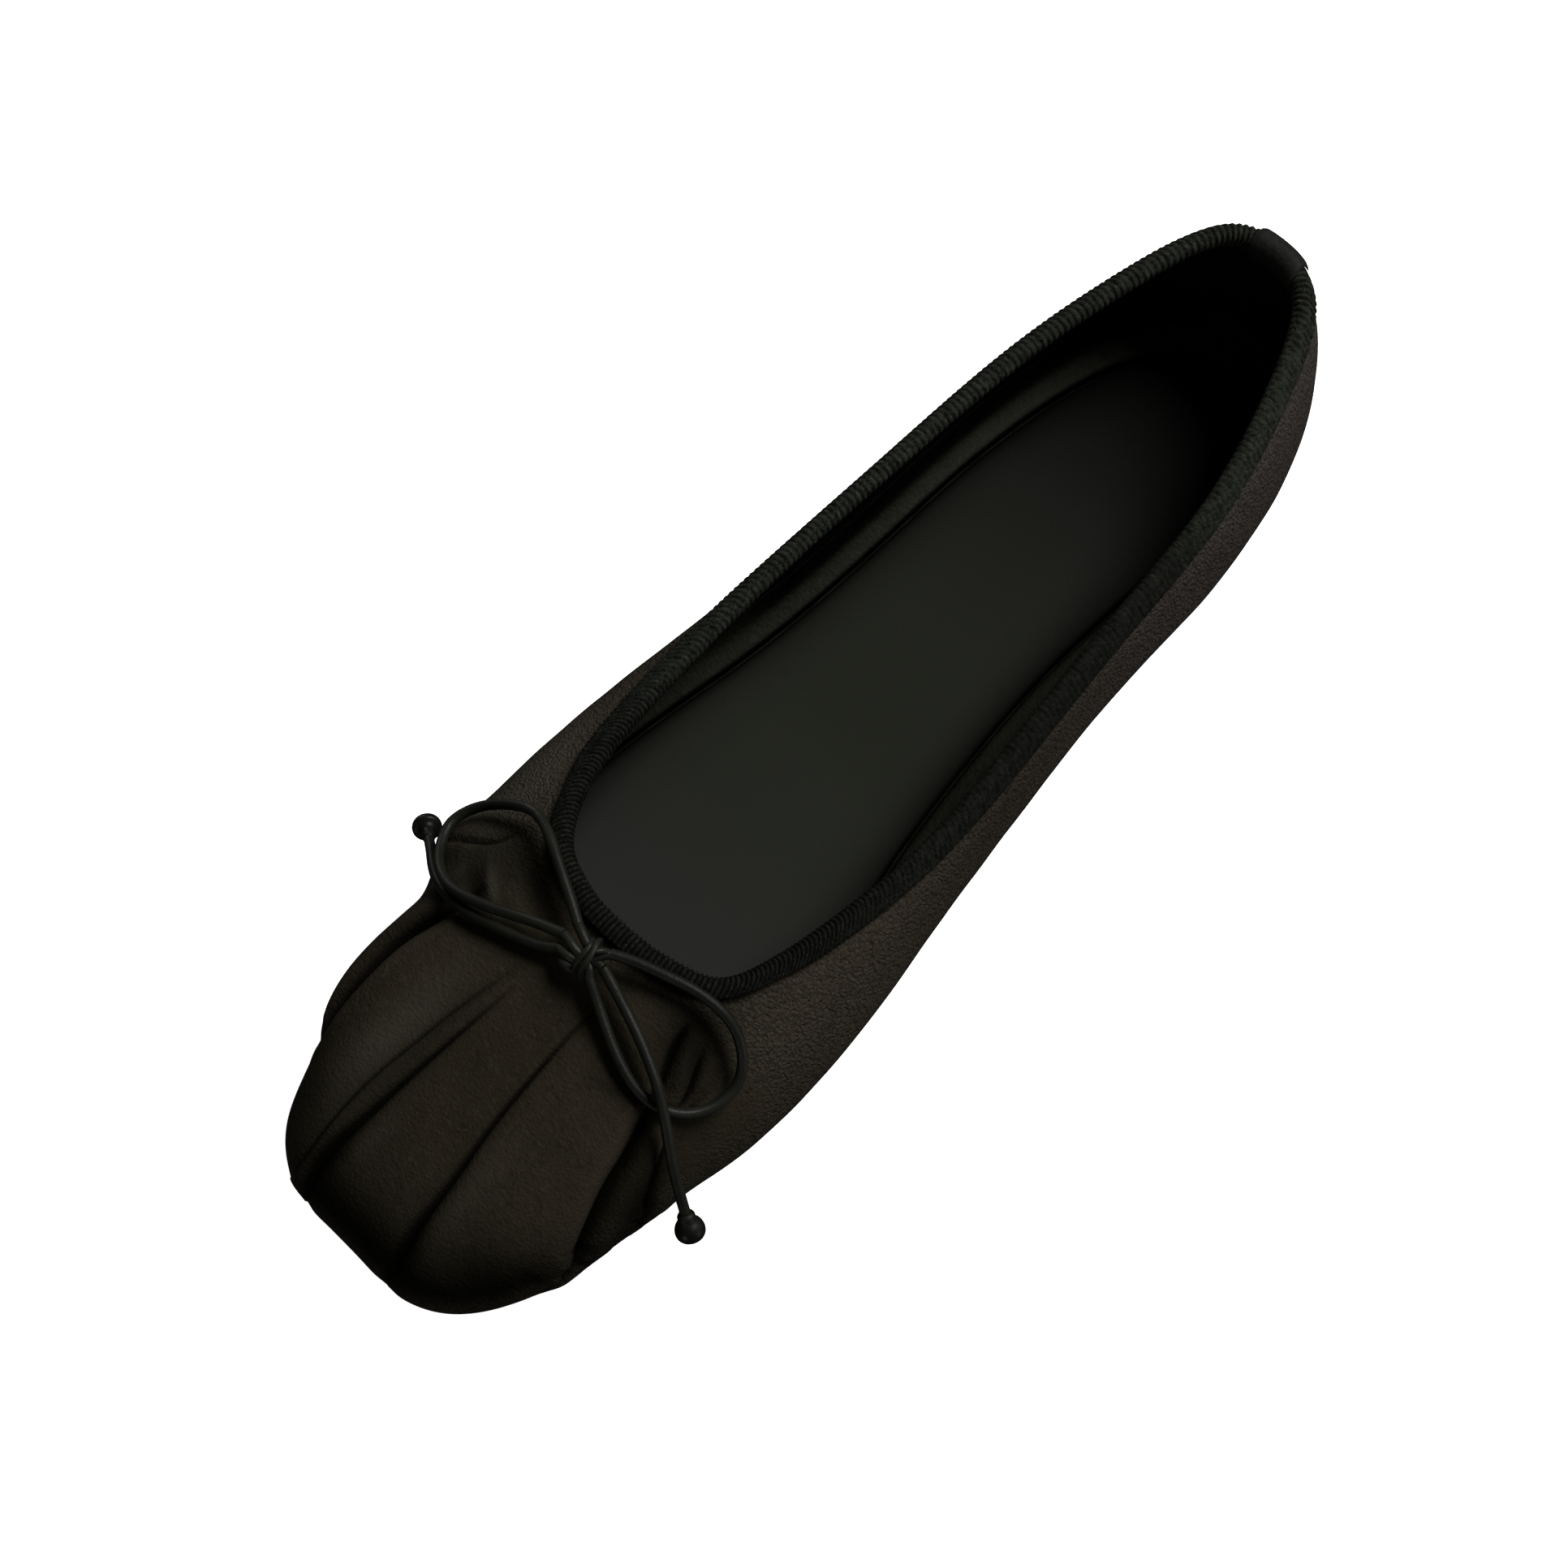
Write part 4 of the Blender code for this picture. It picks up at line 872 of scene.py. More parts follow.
def add_piece(name, points, faces, finish, floats=None):
    """A smooth-shaded piece from points in the shoe's own measures, with any named float attributes."""
    mesh = bpy.data.meshes.new(name)
    mesh.from_pydata(place(points).tolist(), [], [tuple(int(i) for i in face) for face in faces])
    for key, values in (floats or {}).items():
        stored = mesh.attributes.new(key, "FLOAT", "POINT")
        stored.data.foreach_set("value", np.asarray(values, np.float32).ravel())
    tidied = bmesh.new()
    tidied.from_mesh(mesh)
    bmesh.ops.recalc_face_normals(tidied, faces=tidied.faces)
    tidied.to_mesh(mesh)
    tidied.free()
    mesh.shade_smooth()
    mesh.materials.append(finish)
    return added(name, mesh)


def handed_over(piece, slot, *nodes):
    """The piece rides with the shoe and stands for the solids of the frame, which it hides. Its slot is not
    used.
    """
    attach(piece, "root")
    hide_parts(*nodes)
    return piece


def flat_cap(size, first):
    """One face that closes a ring."""
    return [range(first, first + size)]


def crossing_cap(size, first):
    """Faces that close a ring of the shoe's outline straight across, partner to partner."""
    half, last = size // 2, first + size
    faces = [(first, first + 1, last - 1), (first + half - 1, first + half, first + half + 1)]
    return faces + [(first + i, first + i + 1, last - i - 1, last - i) for i in range(1, half - 1)]


def folded_cap(size, first):
    """Faces that close a ring which runs out along one line and back along another."""
    last = first + size - 1
    return [(first + i, first + i + 1, last - i - 1, last - i) for i in range(size // 2 - 1)]


def solid_of(rings, cap):
    """Faces of rings stacked into a solid, its two ends closed by a cap."""
    size = len(rings[0])
    faces = bridged(len(rings), size, closed_across=False).tolist()
    return faces + cap(size, 0) + cap(size, (len(rings) - 1) * size)


# Geometry Nodes

class Growth(NodeTree):
    """A tree of Geometry Nodes with named inputs, which ends in Realize Instances and Set Material."""

    KINDS = {float: "NodeSocketFloat", int: "NodeSocketInt"}

    def __init__(self, name, sizes):
        self.sizes = sizes
        self.tree = bpy.data.node_groups.new(name, "GeometryNodeTree")
        sockets = self.tree.interface
        sockets.new_socket("Geometry", in_out="INPUT", socket_type="NodeSocketGeometry")
        for title, value in sizes.items():
            sockets.new_socket(title, in_out="INPUT", socket_type=self.KINDS[type(value)])
        sockets.new_socket("Geometry", in_out="OUTPUT", socket_type="NodeSocketGeometry")
        self.start = self.add("NodeGroupInput")

    def given(self, title):
        """What the tree is given under a title: its geometry, or one of its sizes."""
        return self.start.outputs[title]

    def made(self, kind, inputs=None, **settings):
        """The first output of a new node."""
        return self.add(kind, inputs, **settings).outputs[0]

    def attribute(self, name):
        return self.made("GeometryNodeInputNamedAttribute", {"Name": name}, data_type="FLOAT")

    def noise(self, scale, detail=2.0):
        """Soft noise round 0, another one for each seed."""
        inputs = {"Scale": scale, "W": self.given("Seed"), "Detail": detail}
        return self.maths("SUBTRACT", self.made("ShaderNodeTexNoise", inputs, noise_dimensions="4D"), 0.5)

    def pushed(self, geometry, distance):
        """The geometry, each point moved by a distance along its normal."""
        normal = self.made("GeometryNodeInputNormal")
        push = self.made("ShaderNodeVectorMath", {0: normal, "Scale": distance}, operation="SCALE")
        return self.made("GeometryNodeSetPosition", {"Geometry": geometry, "Offset": push})

    def ends_in(self, geometry, finish):
        whole = self.made("GeometryNodeRealizeInstances", {"Geometry": geometry})
        dressed = self.made("GeometryNodeSetMaterial", {"Geometry": whole, "Material": finish})
        self.add("NodeGroupOutput", {0: dressed})

    def grown_on(self, source, name):
        """What the tree makes of a source, as a plain piece. The source is used up."""
        modifier = source.modifiers.new("growth", "NODES")
        modifier.node_group = self.tree
        for item in self.tree.interface.items_tree:
            if item.in_out == "INPUT" and item.name in self.sizes:
                modifier[item.identifier] = self.sizes[item.name]
        settled = bpy.context.evaluated_depsgraph_get()
        mesh = bpy.data.meshes.new_from_object(source.evaluated_get(settled), depsgraph=settled)
        mesh.name = name
        bpy.data.objects.remove(source)
        return added(name, mesh)


def line_source(points):
    """A bare line for a tree to grow on."""
    mesh = bpy.data.meshes.new("line")
    mesh.from_pydata(place(points).tolist(), [(i, i + 1) for i in range(len(points) - 1)], [])
    return added("line", mesh)


def cord_tree(finish, diameter):
    """A round cord along a line, its thickness a little uneven."""
    cord = Growth("drawcord", {"Cord Radius": diameter / 2, "Unevenness": 0.05 * MM, "Sides": 16, "Seed": 3})
    line = cord.made("GeometryNodeMeshToCurve", {"Mesh": cord.given("Geometry")})
    inputs = {"Resolution": cord.given("Sides"), "Radius": cord.given("Cord Radius")}
    profile = cord.made("GeometryNodeCurvePrimitiveCircle", inputs)
    inputs = {"Curve": line, "Profile Curve": profile, "Fill Caps": True}
    swept = cord.made("GeometryNodeCurveToMesh", inputs)
    swell = cord.maths("MULTIPLY", cord.noise(0.5 / (2.0 * MM)), cord.given("Unevenness"))
    smooth = cord.made("GeometryNodeSetShadeSmooth", {"Geometry": cord.pushed(swept, swell)})
    cord.ends_in(smooth, finish)
    return cord


def rib_tree(finish):
    """Ribs raised across a smooth skin. The skin says how far round the collar each point lies, and how
    strongly it is ribbed there."""
    sizes = {"Rib Pitch": RIB_PITCH, "Rib Height": RIB_HEIGHT, "Waver": 0.45, "Waver Size": 5.0 * MM}
    ribs = Growth("binding ribs", {**sizes, "Seed": 7})
    noise = ribs.noise(ribs.maths("DIVIDE", 0.5, ribs.given("Waver Size")), detail=1.0)
    shift = ribs.maths("MULTIPLY", noise, ribs.given("Waver"))
    turns = ribs.maths("ADD", ribs.maths("DIVIDE", ribs.attribute("run"), ribs.given("Rib Pitch")), shift)
    wave = ribs.maths("ABSOLUTE", ribs.maths("SINE", ribs.maths("MULTIPLY", turns, math.pi)))
    crest = ribs.maths("POWER", wave, 1.1)
    strength = ribs.attribute("strength")
    height = ribs.maths("MULTIPLY", ribs.maths("MULTIPLY", crest, strength), ribs.given("Rib Height"))
    shown = ribs.maths("SUBTRACT", 1.0, ribs.maths("MULTIPLY", ribs.maths("SUBTRACT", 1.0, crest), strength))
    inputs = {"Geometry": ribs.given("Geometry"), "Name": "rib", "Value": shown}
    kept = ribs.made("GeometryNodeStoreNamedAttribute", inputs, data_type="FLOAT", domain="POINT")
    ribs.ends_in(ribs.pushed(kept, height), finish)
    return ribs


# The bow

def smooth_path(points, step):
    """Points at even steps along a smooth curve through the given points."""
    reach = run_along(points)
    fine = spline(reach, points, np.linspace(0.0, reach[-1], 400), closed=False)
    run = run_along(fine)
    count = max(4, round(run[-1] / step) + 1)
    return points_at(np.linspace(0.0, run[-1], count), run, fine)


def cord_route(name, step=CORD_STEP):
    points = np.array(BOW_ROUTES[name]) * [BOW_REACH, BOW_REACH, THROAT_HEIGHT]
    return smooth_path(points + [KNOT_ACROSS, KNOT_STATION, 0.0], step)


def add_bow(yarn, lacquer):
    """The drawcord's two loops and two ends, its knot, and a stopper on each end."""
    tree = cord_tree(yarn, CORD_DIAMETER)
    stoppers = {end: add_stopper(name, end, lacquer) for name, end in STOPPERS.items()}
    for name in BOW_ROUTES:
        path = cord_route(name, 0.7 * MM)
        cord = handed_over(tree.grown_on(line_source(path), name + "_cord"), "drawcord", name)
    add_knot(yarn)


def add_stopper(name, cord, finish):
    """A turned stopper that follows on from the end of a cord."""
    path = cord_route(cord)
    along = path[-1] - path[-2]
    along /= np.linalg.norm(along)
    aside = np.cross(along, [0.0, 0.0, 1.0])
    aside /= np.linalg.norm(aside)
    profile = np.array(STOPPER_PROFILES[name])
    run = run_along(profile)
    profile = spline(run / run[-1], profile, np.linspace(0.0, 1.0, STOPPER_RINGS), closed=False)
    turns = np.arange(STOPPER_SIDES)[:, None] * 2 * math.pi / STOPPER_SIDES
    circle = np.cos(turns) * aside + np.sin(turns) * np.cross(along, aside)
    rings = []
    for share, wide in profile[1:-1]:
        centre = path[-1] + along * (CLEARANCE + share * TIP_LENGTH)
        rings.append(centre + max(wide, 0.02) * TIP_WIDTH / 2 * circle)
    piece = add_piece(name + "_stopper", np.concatenate(rings), solid_of(rings, flat_cap), finish)
    return handed_over(piece, "drawcord", name)


def add_knot(yarn):
    """The bow's knot: the strands run under a thin wrap that is drawn tight across them."""
    centre = np.array([KNOT_ACROSS, KNOT_STATION, KNOT_LEVEL])
    pieces = []
    for thickness, strands in KNOT_STRANDS:
        tree = cord_tree(yarn, thickness * MM)
        for points in strands:
            line = smooth_path(centre + np.array(points) * MM, 0.35 * MM)
            pieces.append(tree.grown_on(line_source(line), "strand"))
    handed_over(joined(pieces, "bow_knot_strands"), "drawcord", "bow_knot")


def joined(parts, name):
    """Several meshes as one piece."""
    whole = bmesh.new()
    for part in parts:
        whole.from_mesh(part.data)
    mesh = bpy.data.meshes.new(name)
    whole.to_mesh(mesh)
    whole.free()
    for finish in parts[0].data.materials:
        mesh.materials.append(finish)
    for part in parts:
        bpy.data.objects.remove(part)
    return added(name, mesh)


# The upper

def on_the_face(face, points):
    """The height of the face at points given in plan."""
    above = face[len(face) // 8 :].reshape(-1, 3)
    heights = [above[((above[:, :2] - point) ** 2).sum(axis=1).argmin(), 2] for point in points]
    return np.column_stack([points, heights])


def soft_spot(points, row):
    """How much of a soft oval spot there is at each point, by a row of the tables of spots."""
    across, station, turn, long, wide, amount = row
    turn = math.radians(turn)
    aside, forward = points[..., 0] - across * MM, points[..., 1] - station * MM
    along = forward * math.cos(turn) + aside * math.sin(turn)
    aside = aside * math.cos(turn) - forward * math.sin(turn)
    return amount * np.exp(-((along / (long * MM)) ** 2) - (aside / (wide * MM)) ** 2)


def folding(face):
    """How far each point of the face is drawn in by the folds, less how far it stands proud, and how deep in
    shade it lies there."""
    points = face.reshape(-1, 3)
    depth, shade = np.zeros((2, len(points)))
    for rows in FOLDS.values():
        table = np.array(rows) * MM
        run = run_along(table[:, :2])
        fine = spline(run, table, np.linspace(0.0, run[-1], FOLD_STEPS), closed=False)
        path = on_the_face(face, fine[:, :2])
        path[:, 2] = np.convolve(np.pad(path[:, 2], 4, mode="edge"), np.ones(9) / 9, mode="valid")
        forward = np.gradient(path, axis=0)
        forward /= np.linalg.norm(forward, axis=1)[:, None]
        beside = np.abs(points[:, None, :2] - path[None, ::20, :2]).max(axis=2).min(axis=1)
        near = np.nonzero(beside < FOLD_REACH)[0]
        away = points[near][:, None, :] - path[None]
        nearest = (away**2).sum(axis=2).argmin(axis=1)
        away = away[np.arange(len(near)), nearest]
        ahead = forward[nearest]
        square = away - ahead * (away * ahead).sum(axis=1)[:, None]
        beyond = (nearest == 0) | (nearest == len(path) - 1)
        distance = np.where(beyond, np.linalg.norm(away, axis=1), np.linalg.norm(square, axis=1))
        medial = square[:, 0] * ahead[:, 1] - square[:, 1] * ahead[:, 0] > 0
        valley, width, proud_m, proud_l, spread = fine[nearest, 2:].T
        off = distance / np.maximum(spread, 0.3 * MM)
        drawn = valley * np.exp(-((distance / np.maximum(width, 0.2 * MM)) ** 1.3))
        depth[near] += drawn - np.where(medial, proud_m, proud_l) * off * np.exp(0.5 - 0.5 * off**2)
        core = np.clip(valley / (0.8 * MM), 0.0, 1.0) * np.exp(-((distance / (0.8 * width + 0.05 * MM)) ** 2))
        hollow = np.clip(valley / (1.2 * MM), 0.0, 1.0) * np.exp(-((distance / HOLLOW_REACH) ** 2))
        shade[near] = np.maximum(shade[near], np.maximum(FOLD_SHADE * core, HOLLOW_SHADE * hollow))
    for row in SWELLINGS:
        depth -= soft_spot(points, row) * MM
    front = rising(points[:, 1], 222, 14) * (0.32 + 0.62 * rising(points[:, 0], -13, 3))
    over = points[:, 2] - TOE_BAND_HEIGHT
    spread = np.where(over > 0.0, TOE_BAND_SPREAD, TOE_BAND_SPREAD_BELOW)
    for spot in [soft_spot(points, row) for row in SHADOWS] + [front * np.exp(-((over / spread) ** 2))]:
        shade = 1.0 - (1.0 - shade) * (1.0 - spot)
    return depth.reshape(face.shape[:2]), shade.reshape(face.shape[:2])


def ripples(face):
    """Slight random waves of soft leather."""
    chance = np.random.default_rng(11)
    waves = np.zeros(face.shape[:2])
    for size in (34, 22, 15, 11, 8):
        for _ in range(5):
            heading = chance.normal(size=3)
            heading /= np.linalg.norm(heading)
            phase = face @ heading * 2 * math.pi / (size * MM) + chance.uniform(0, 6.3)
            waves += np.sin(phase) * size * 0.0011 * MM
    return waves


def softened(values, passes):
    """Values of a grid that is closed round the shoe, spread to their neighbours."""
    for _ in range(passes):
        values = (np.roll(values, 1, axis=1) + np.roll(values, -1, axis=1) + 2 * values) / 4
        padded = np.pad(values, ((1, 1), (0, 0)), mode="edge")
        values = (padded[:-2] + padded[2:] + 2 * padded[1:-1]) / 4
    return values


def under_cords(face):
    """How much of the light the bow's cords keep from each point of the face close by."""
    shade = np.zeros(face.shape[:2])
    spots = np.concatenate([cord_route(name, 1.0 * MM) for name in BOW_ROUTES]) + [0.0, CORD_SHADE_SHIFT, 0.0]
    near = np.abs(face[..., :2] - [KNOT_ACROSS, KNOT_STATION]).max(axis=2) < BOW_REACH
    away = face[near][:, None, :] - spots[None]
    gap = np.clip(np.sqrt((away**2).sum(axis=2).min(axis=1)) - CORD_DIAMETER / 2, 0.0, None)
    shade[near] = CORD_SHADE * np.exp(-((gap / CORD_SHADE_REACH) ** 1.6))
    return shade


def add_upper(shell, finish):
    """The leather upper as one hollow piece: lasting margin, folded outer face and lining."""
    face, normals = shell.face, shell.normals
    columns = face.shape[1]
    over = np.linalg.norm(face - face[-1], axis=2)
    up = np.linspace(0.0, 1.0, len(face))[:, None]
    hold = rising(over, 0, 5) * smooth_step(up / 0.08)
    depth, shade = folding(face)
    depth = depth * smooth_step(up / 0.1) * (0.35 + 0.65 * rising(over, 0, 4)) + ripples(face) * hold
    outer = face - normals * depth[..., None]
    even = softened(depth, 60)
    relief = (softened(even, 120) - softened(depth, 1)) / MM
    beside = np.exp(-(((over - BINDING_SHADE_DOWN) / BINDING_SHADE_REACH) ** 2))
    beside = BINDING_SHADE * rising(face[-1][:, 1], 166, 10) * beside
    shade = np.maximum(np.maximum(shade, under_cords(outer)), beside)
    lining = lining_of(shell, WALL)
    lining[1:] -= normals[1:] * np.clip(even, -0.6 * MM, None)[1:, :, None]
    picks = np.linspace(0, len(face) - 1, LINING_ROWS).round().astype(int)
    margin = WALL + LASTING_MARGIN
    below, above = (moved_in(shell.edge, shell.inward, margin, height) for height in (FLOOR, FLOOR + WALL))
    rings = [below, *outer, *lining[picks][::-1], above]
    panels = rising(face[..., 1], 178, 12) * rising(face[..., 2], 16, 8)

    def all_over(rows, inside=0.0):
        """A measure of every ring: none on the margin, the face's rows, and one value for the lining."""
        return np.vstack([np.zeros(columns), rows, np.full((LINING_ROWS + 1, columns), inside)])

    floats = {
        "relief": all_over(relief),
        "shade": all_over(shade, LINING_SHADE),
        # painted highlights, a pale sheen where the light catches the leather
        "wear_and_painted_sheen": all_over(sum(soft_spot(face, row) for row in PAINTED_HIGHLIGHT_SPOTS)),
        "coarse": all_over(1.0 - panels),
    }
    faces = bridged(len(rings), columns)
    piece = add_piece("folded_leather_upper", np.concatenate(rings), faces, finish, floats)
    handed_over(piece, "upper_leather", "upper")


# Binding and tape

def evenly_round(guide, lines, count):
    """Closed lines taken at even steps round a closed guide line, and the guide's length."""
    run = run_along(np.vstack([guide, guide[:1]]))
    at = np.arange(count) * run[-1] / count
    return [points_at(at, run, np.vstack([line, line[:1]])) for line in lines], run[-1]


def add_binding(shell, finish):
    """The binding folded over the collar, its skin ribbed by a tree of nodes."""
    collar = shell.face[-1]
    gap = CLEARANCE + BINDING_THICKNESS - RIB_ROOM
    out = BINDING_OUTSIDE - THROAT_NARROWING * rising(collar[:, 1], 158, 16)
    down = BINDING_INSIDE - LATERAL_NARROWING * rising(-collar[:, 0], 0, 16)
    outside = (out, out - 0.3 * MM, out * 0.7, out * 0.45, out * 0.2, 0.0)
    inside = (0.0, down * 0.4, down * 0.75, down - 0.3 * MM, down)
    outer = folded_over_collar(shell, gap, outside, inside, (25, 55, 90, 125, 155))
    foot = folded_over_collar(shell, gap - 0.35 * MM, (out,), (down,), ())
    inner = folded_over_collar(shell, CLEARANCE, (out, 0.0), (0.0, down), (90,))
    top = outer[5]
    count = round(run_along(top)[-1] / (THROAT_RIB_PITCH / COLUMNS_PER_RIB))
    lines, whole = evenly_round(top, [foot[0], *outer[1:-1], foot[1], *inner[::-1]], count)
    across, station = lines[4][:, 0], lines[4][:, 1]
    throat, heel = rising(station, 120, 45), rising(-station, -26, 20)
    far_side, near_side = rising(-across, 0, 14), rising(across, 0, 14) * rising(station, 40, 30)
    turns = np.cumsum(1.0 / (RIB_PITCH + (THROAT_RIB_PITCH - RIB_PITCH) * throat))
    run = turns * (round(turns[-1] * whole / count) * RIB_PITCH / turns[-1])
    shown = len(outer)
    fading = np.interp(np.arange(shown), (0, 1, 3, shown - 3, shown - 1), (0.25, 0.7, 1.0, 1.0, 0.2))
    strength = np.zeros((len(lines), count))
    strength[:shown] = fading[:, None] * np.maximum(np.maximum(throat, 0.75 * heel), 0.22 + 0.30 * far_side)
    dim = 0.60 * near_side + 0.50 * throat * (1.0 - near_side)
    shade = np.maximum(under_cords(np.array(lines)), dim)
    floats = {"run": np.tile(run, (len(lines), 1)), "strength": strength, "shade": shade}
    skin = add_piece("skin", np.concatenate(lines), bridged(len(lines), count), finish, floats)
    handed_over(rib_tree(finish).grown_on(skin, "ribbed_binding"), "binding_webbing", "collar_binding")


def add_tape(shell, finish):
    """The plain tape round the binding's join at the back of the heel."""
    gap = 2 * CLEARANCE + BINDING_THICKNESS
    out, down = BINDING_OUTSIDE + TAPE_OVERLAP, BINDING_INSIDE + TAPE_OVERLAP
    outside = (out, out - 0.3 * MM, out * 0.66, out * 0.33, 0.0)
    inside = (0.0, down * 0.5, down - 0.3 * MM, down)
    places = np.linspace(-0.30, 0.50, TAPE_STATIONS) * TAPE_LENGTH
    rounded = smooth_step((0.40 * TAPE_LENGTH - np.abs(places - 0.10 * TAPE_LENGTH)) / (0.6 * MM))
    near = np.arange(-TAPE_REACH, TAPE_REACH + 1)

    def side(thickness):
        """The lines of one side of the tape, each cut to its length round the heel."""
        lines = folded_over_collar(shell, gap + thickness, outside, inside, TAPE_ANGLES)
        lines = [line[near] for line in lines]
        runs = [run_along(line) for line in lines]
        return np.array([points_at(places, run - run[TAPE_REACH], line) for run, line in zip(runs, lines)])

    inner, outer = side(0.0), side(TAPE_THICKNESS)
    outer = inner + (outer - inner) * (0.35 + 0.65 * rounded)[:, None]
    for end in (0, -1):
        outer[end] = inner[end] + (outer[end] - inner[end]) * 0.5
    rings = np.concatenate([outer, inner[::-1]]).swapaxes(0, 1)
    piece = add_piece("joining_tape", rings.reshape(-1, 3), solid_of(rings, folded_cap), finish)
    handed_over(piece, "binding_webbing", "binding_join")


# Ledge and sock

def add_ledge(shell, finish):
    """The soft band round the footbed: it climbs the lining outboard and rolls down to the sock inboard."""
    inward, ledge = shell.inward, shell.ledge
    rows = lining_of(shell, WALL + CLEARANCE)
    foot = line_at_height(rows, SOCK_BASE)
    across, station = foot[:, 0], foot[:, 1]
    rise = LEDGE_RISE + LATERAL_LEDGE_RISE * (rising(-across, 0, 16) * rising(-station, -150, 30))
    climb = [line_at_height(rows, SOCK_TOP + rise * share) for share in (0.0, 0.5, 1.0)]
    crown = SOCK_TOP + LEDGE_STEP
    top = [
        climb[2],
        moved_in(climb[1], inward, ledge * 0.45, crown + LEDGE_STEP),
        moved_in(foot, inward, ledge * 0.80, crown),
        moved_in(foot, inward, ledge * 0.97, SOCK_TOP + 0.3 * MM),
    ]
    rings = [foot, climb[0], climb[1], *smooth_between(top, LEDGE_RINGS)]
    rings += [moved_in(foot, inward, ledge, height) for height in (SOCK_TOP - 0.4 * MM, SOCK_BASE)]
    shade = np.zeros((len(rings), len(foot)))
    shade[:3], shade[-2:] = 0.6, 1.0
    down = np.linspace(0.0, 1.0, LEDGE_RINGS)
    rolled = np.interp(down, (0.0, 0.35, 0.75, 0.9, 1.0), (0.5, 0.3, 0.0, 0.3, 1.0))[:, None]
    under_wall = rising(-across, 0, 12) * rising(-station, -124, 16)
    shade[3:-2] = np.maximum(rolled, np.interp(down, (0.36, 0.54), (1.0, 0.0))[:, None] * under_wall)
    faces = bridged(len(rings), len(foot))
    piece = add_piece("rolled_ledge", np.concatenate(rings), faces, finish, {"shade": shade})
    handed_over(piece, "lining_leather", "sock_ledge")


def add_sock(shell, finish):
    """The padded sock, its edge rolled down into the groove inside the ledge."""
    foot = line_at_height(lining_of(shell, WALL + CLEARANCE), SOCK_BASE)
    start = shell.ledge + SOCK_GROOVE
    steps = (
        (0.0, SOCK_BASE), (0.0, SOCK_TOP - 0.9 * MM), (0.15 * MM, SOCK_TOP - 0.45 * MM),
        (0.5 * MM, SOCK_TOP - 0.12 * MM), (1.1 * MM, SOCK_TOP), (2.4 * MM, SOCK_TOP + 0.05 * MM),
    )
    rings = [moved_in(foot, shell.inward, start + inset, height) for inset, height in steps]
    rim = rings[-1]
    spine = rim.copy()
    spine[:, 0] = (spine[:, 0] + np.roll(spine[::-1, 0], 1)) / 2
    spine[:, 1] = np.clip(spine[:, 1], rim[:, 1].min() + 16 * MM, rim[:, 1].max() - 16 * MM)
    for share in (0.12, 0.28, 0.50, 0.80):
        ring = rim * (1.0 - share) + spine * share
        ring[:, 2] = sole_underside(ring[:, 1]) + SOCK_TOP + 0.05 * MM
        rings.append(ring)
    points = np.concatenate(rings)
    tones = np.repeat((1.0, 1.0, 0.97, 0.90, 0.74, 0.46, 0.22, 0.08, 0.0, 0.0), len(foot))
    shade = 1.0 - (1.0 - tones) * (1.0 - 0.90 * rising(-points[:, 1], -104, 76))
    piece = add_piece("padded_sock", points, solid_of(rings, crossing_cap), finish, {"shade": shade})
    handed_over(piece, "footbed_leather", "sock_panel")


# Sole and heel

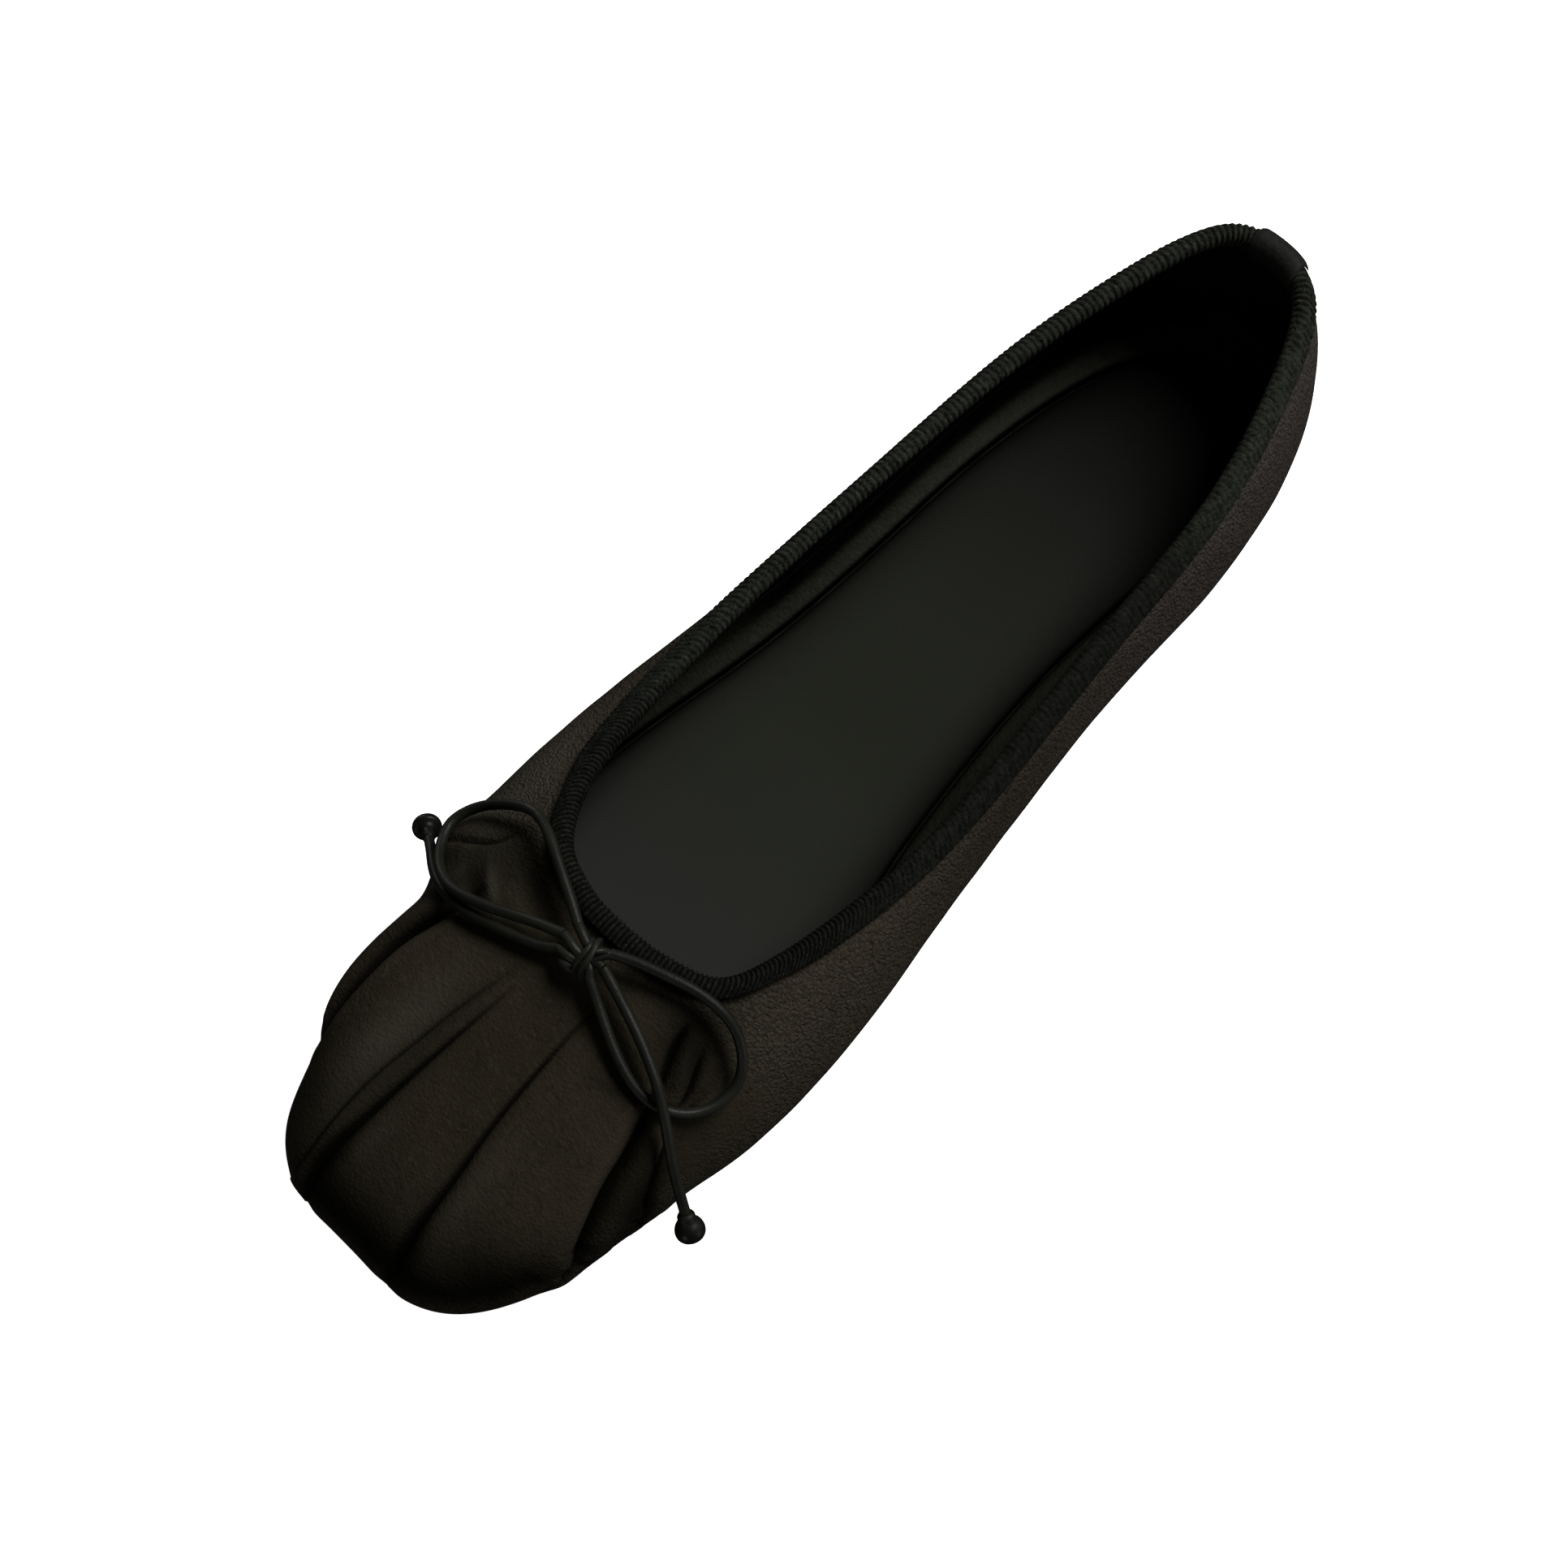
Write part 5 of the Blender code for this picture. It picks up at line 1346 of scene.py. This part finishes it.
def add_sole(shell, finish):
    """The thin outsole, its edge rounded, with a shallow line cut round the underside."""
    out = -OUTSOLE_REVEAL
    steps = (
        (9.0 * MM, 0.0), (5.0 * MM, 0.0), (4.7 * MM, 0.35 * MM), (4.1 * MM, 0.35 * MM), (3.8 * MM, 0.0),
        (out + 0.9 * MM, 0.0), (out + 0.35 * MM, 0.12 * MM), (out + 0.05 * MM, 0.5 * MM), (out, 0.9 * MM),
        (out, 1.7 * MM), (out + 0.25 * MM, 1.95 * MM), (out + 0.05 * MM, 2.2 * MM),
        (out + 0.15 * MM, 2.6 * MM), (out + 0.5 * MM, OUTSOLE_THICKNESS), (9.0 * MM, OUTSOLE_THICKNESS),
    )
    rings = [moved_in(shell.edge, shell.inward, inset, height) for inset, height in steps]
    piece = add_piece("rounded_outsole", np.concatenate(rings), solid_of(rings, crossing_cap), finish)
    handed_over(piece, "sole_rubber", "outsole")


def add_heel(shell, finish):
    """A low heel block with a thin top piece under it and a hollowed front."""
    edge = shell.edge
    seat = [i for i in range(len(edge) // 2) if edge[i, 1] < HEEL_BREAST - HEEL_BREAST_HOLLOW]
    order = [(len(edge) - i) % len(edge) for i in reversed(seat[1:])] + seat
    across = np.linspace(0.0, 1.0, HEEL_BREAST_STEPS)[1:-1]
    steps = (
        (HEEL_TAPER + 1.2 * MM, 0.0), (HEEL_TAPER + 0.4 * MM, 0.15 * MM),
        (HEEL_TAPER, 0.7 * MM), (HEEL_TAPER - 0.1 * MM, 2.2 * MM),
        (HEEL_TAPER + 0.25 * MM, 2.4 * MM), (HEEL_TAPER - 0.2 * MM, 2.6 * MM), (0.3 * MM, 5.0 * MM),
        (0.1 * MM, HEEL_LIFT - CLEARANCE - 0.4 * MM), (0.5 * MM, HEEL_LIFT - CLEARANCE),
    )
    rings = []
    for inset, height in steps:
        wall = moved_in(edge, shell.inward, inset, 0.0)[order]
        breast = wall[-1] + (wall[0] - wall[-1]) * across[:, None]
        breast[:, 1] = HEEL_BREAST - inset * 0.6 - HEEL_BREAST_HOLLOW * np.sin(math.pi * across)
        ring = np.concatenate([wall, breast])
        ring[:, 2] = height
        rings.append(ring)
    piece = add_piece("stacked_heel", np.concatenate(rings), solid_of(rings, flat_cap), finish)
    piece.data.set_sharp_from_angle(angle=math.radians(50))
    handed_over(piece, "sole_rubber", "heel")


# The whole shoe

def build():
    add_camera()
    add_bow(drawcord_yarn(), stopper_lacquer())
    add_studio()
    shell = lasted_shell()
    leather, webbing, lining, rubber = upper_leather(), binding_webbing(), lining_leather(), sole_rubber()
    add_upper(shell, leather)
    add_binding(shell, webbing)
    add_tape(shell, joining_tape())
    add_ledge(shell, lining)
    add_sock(shell, footbed_leather())
    add_sole(shell, rubber)
    add_heel(shell, rubber)
    board = insole_board()
    for slot in bpy.data.objects["insole"].material_slots:
        slot.material = board


build()
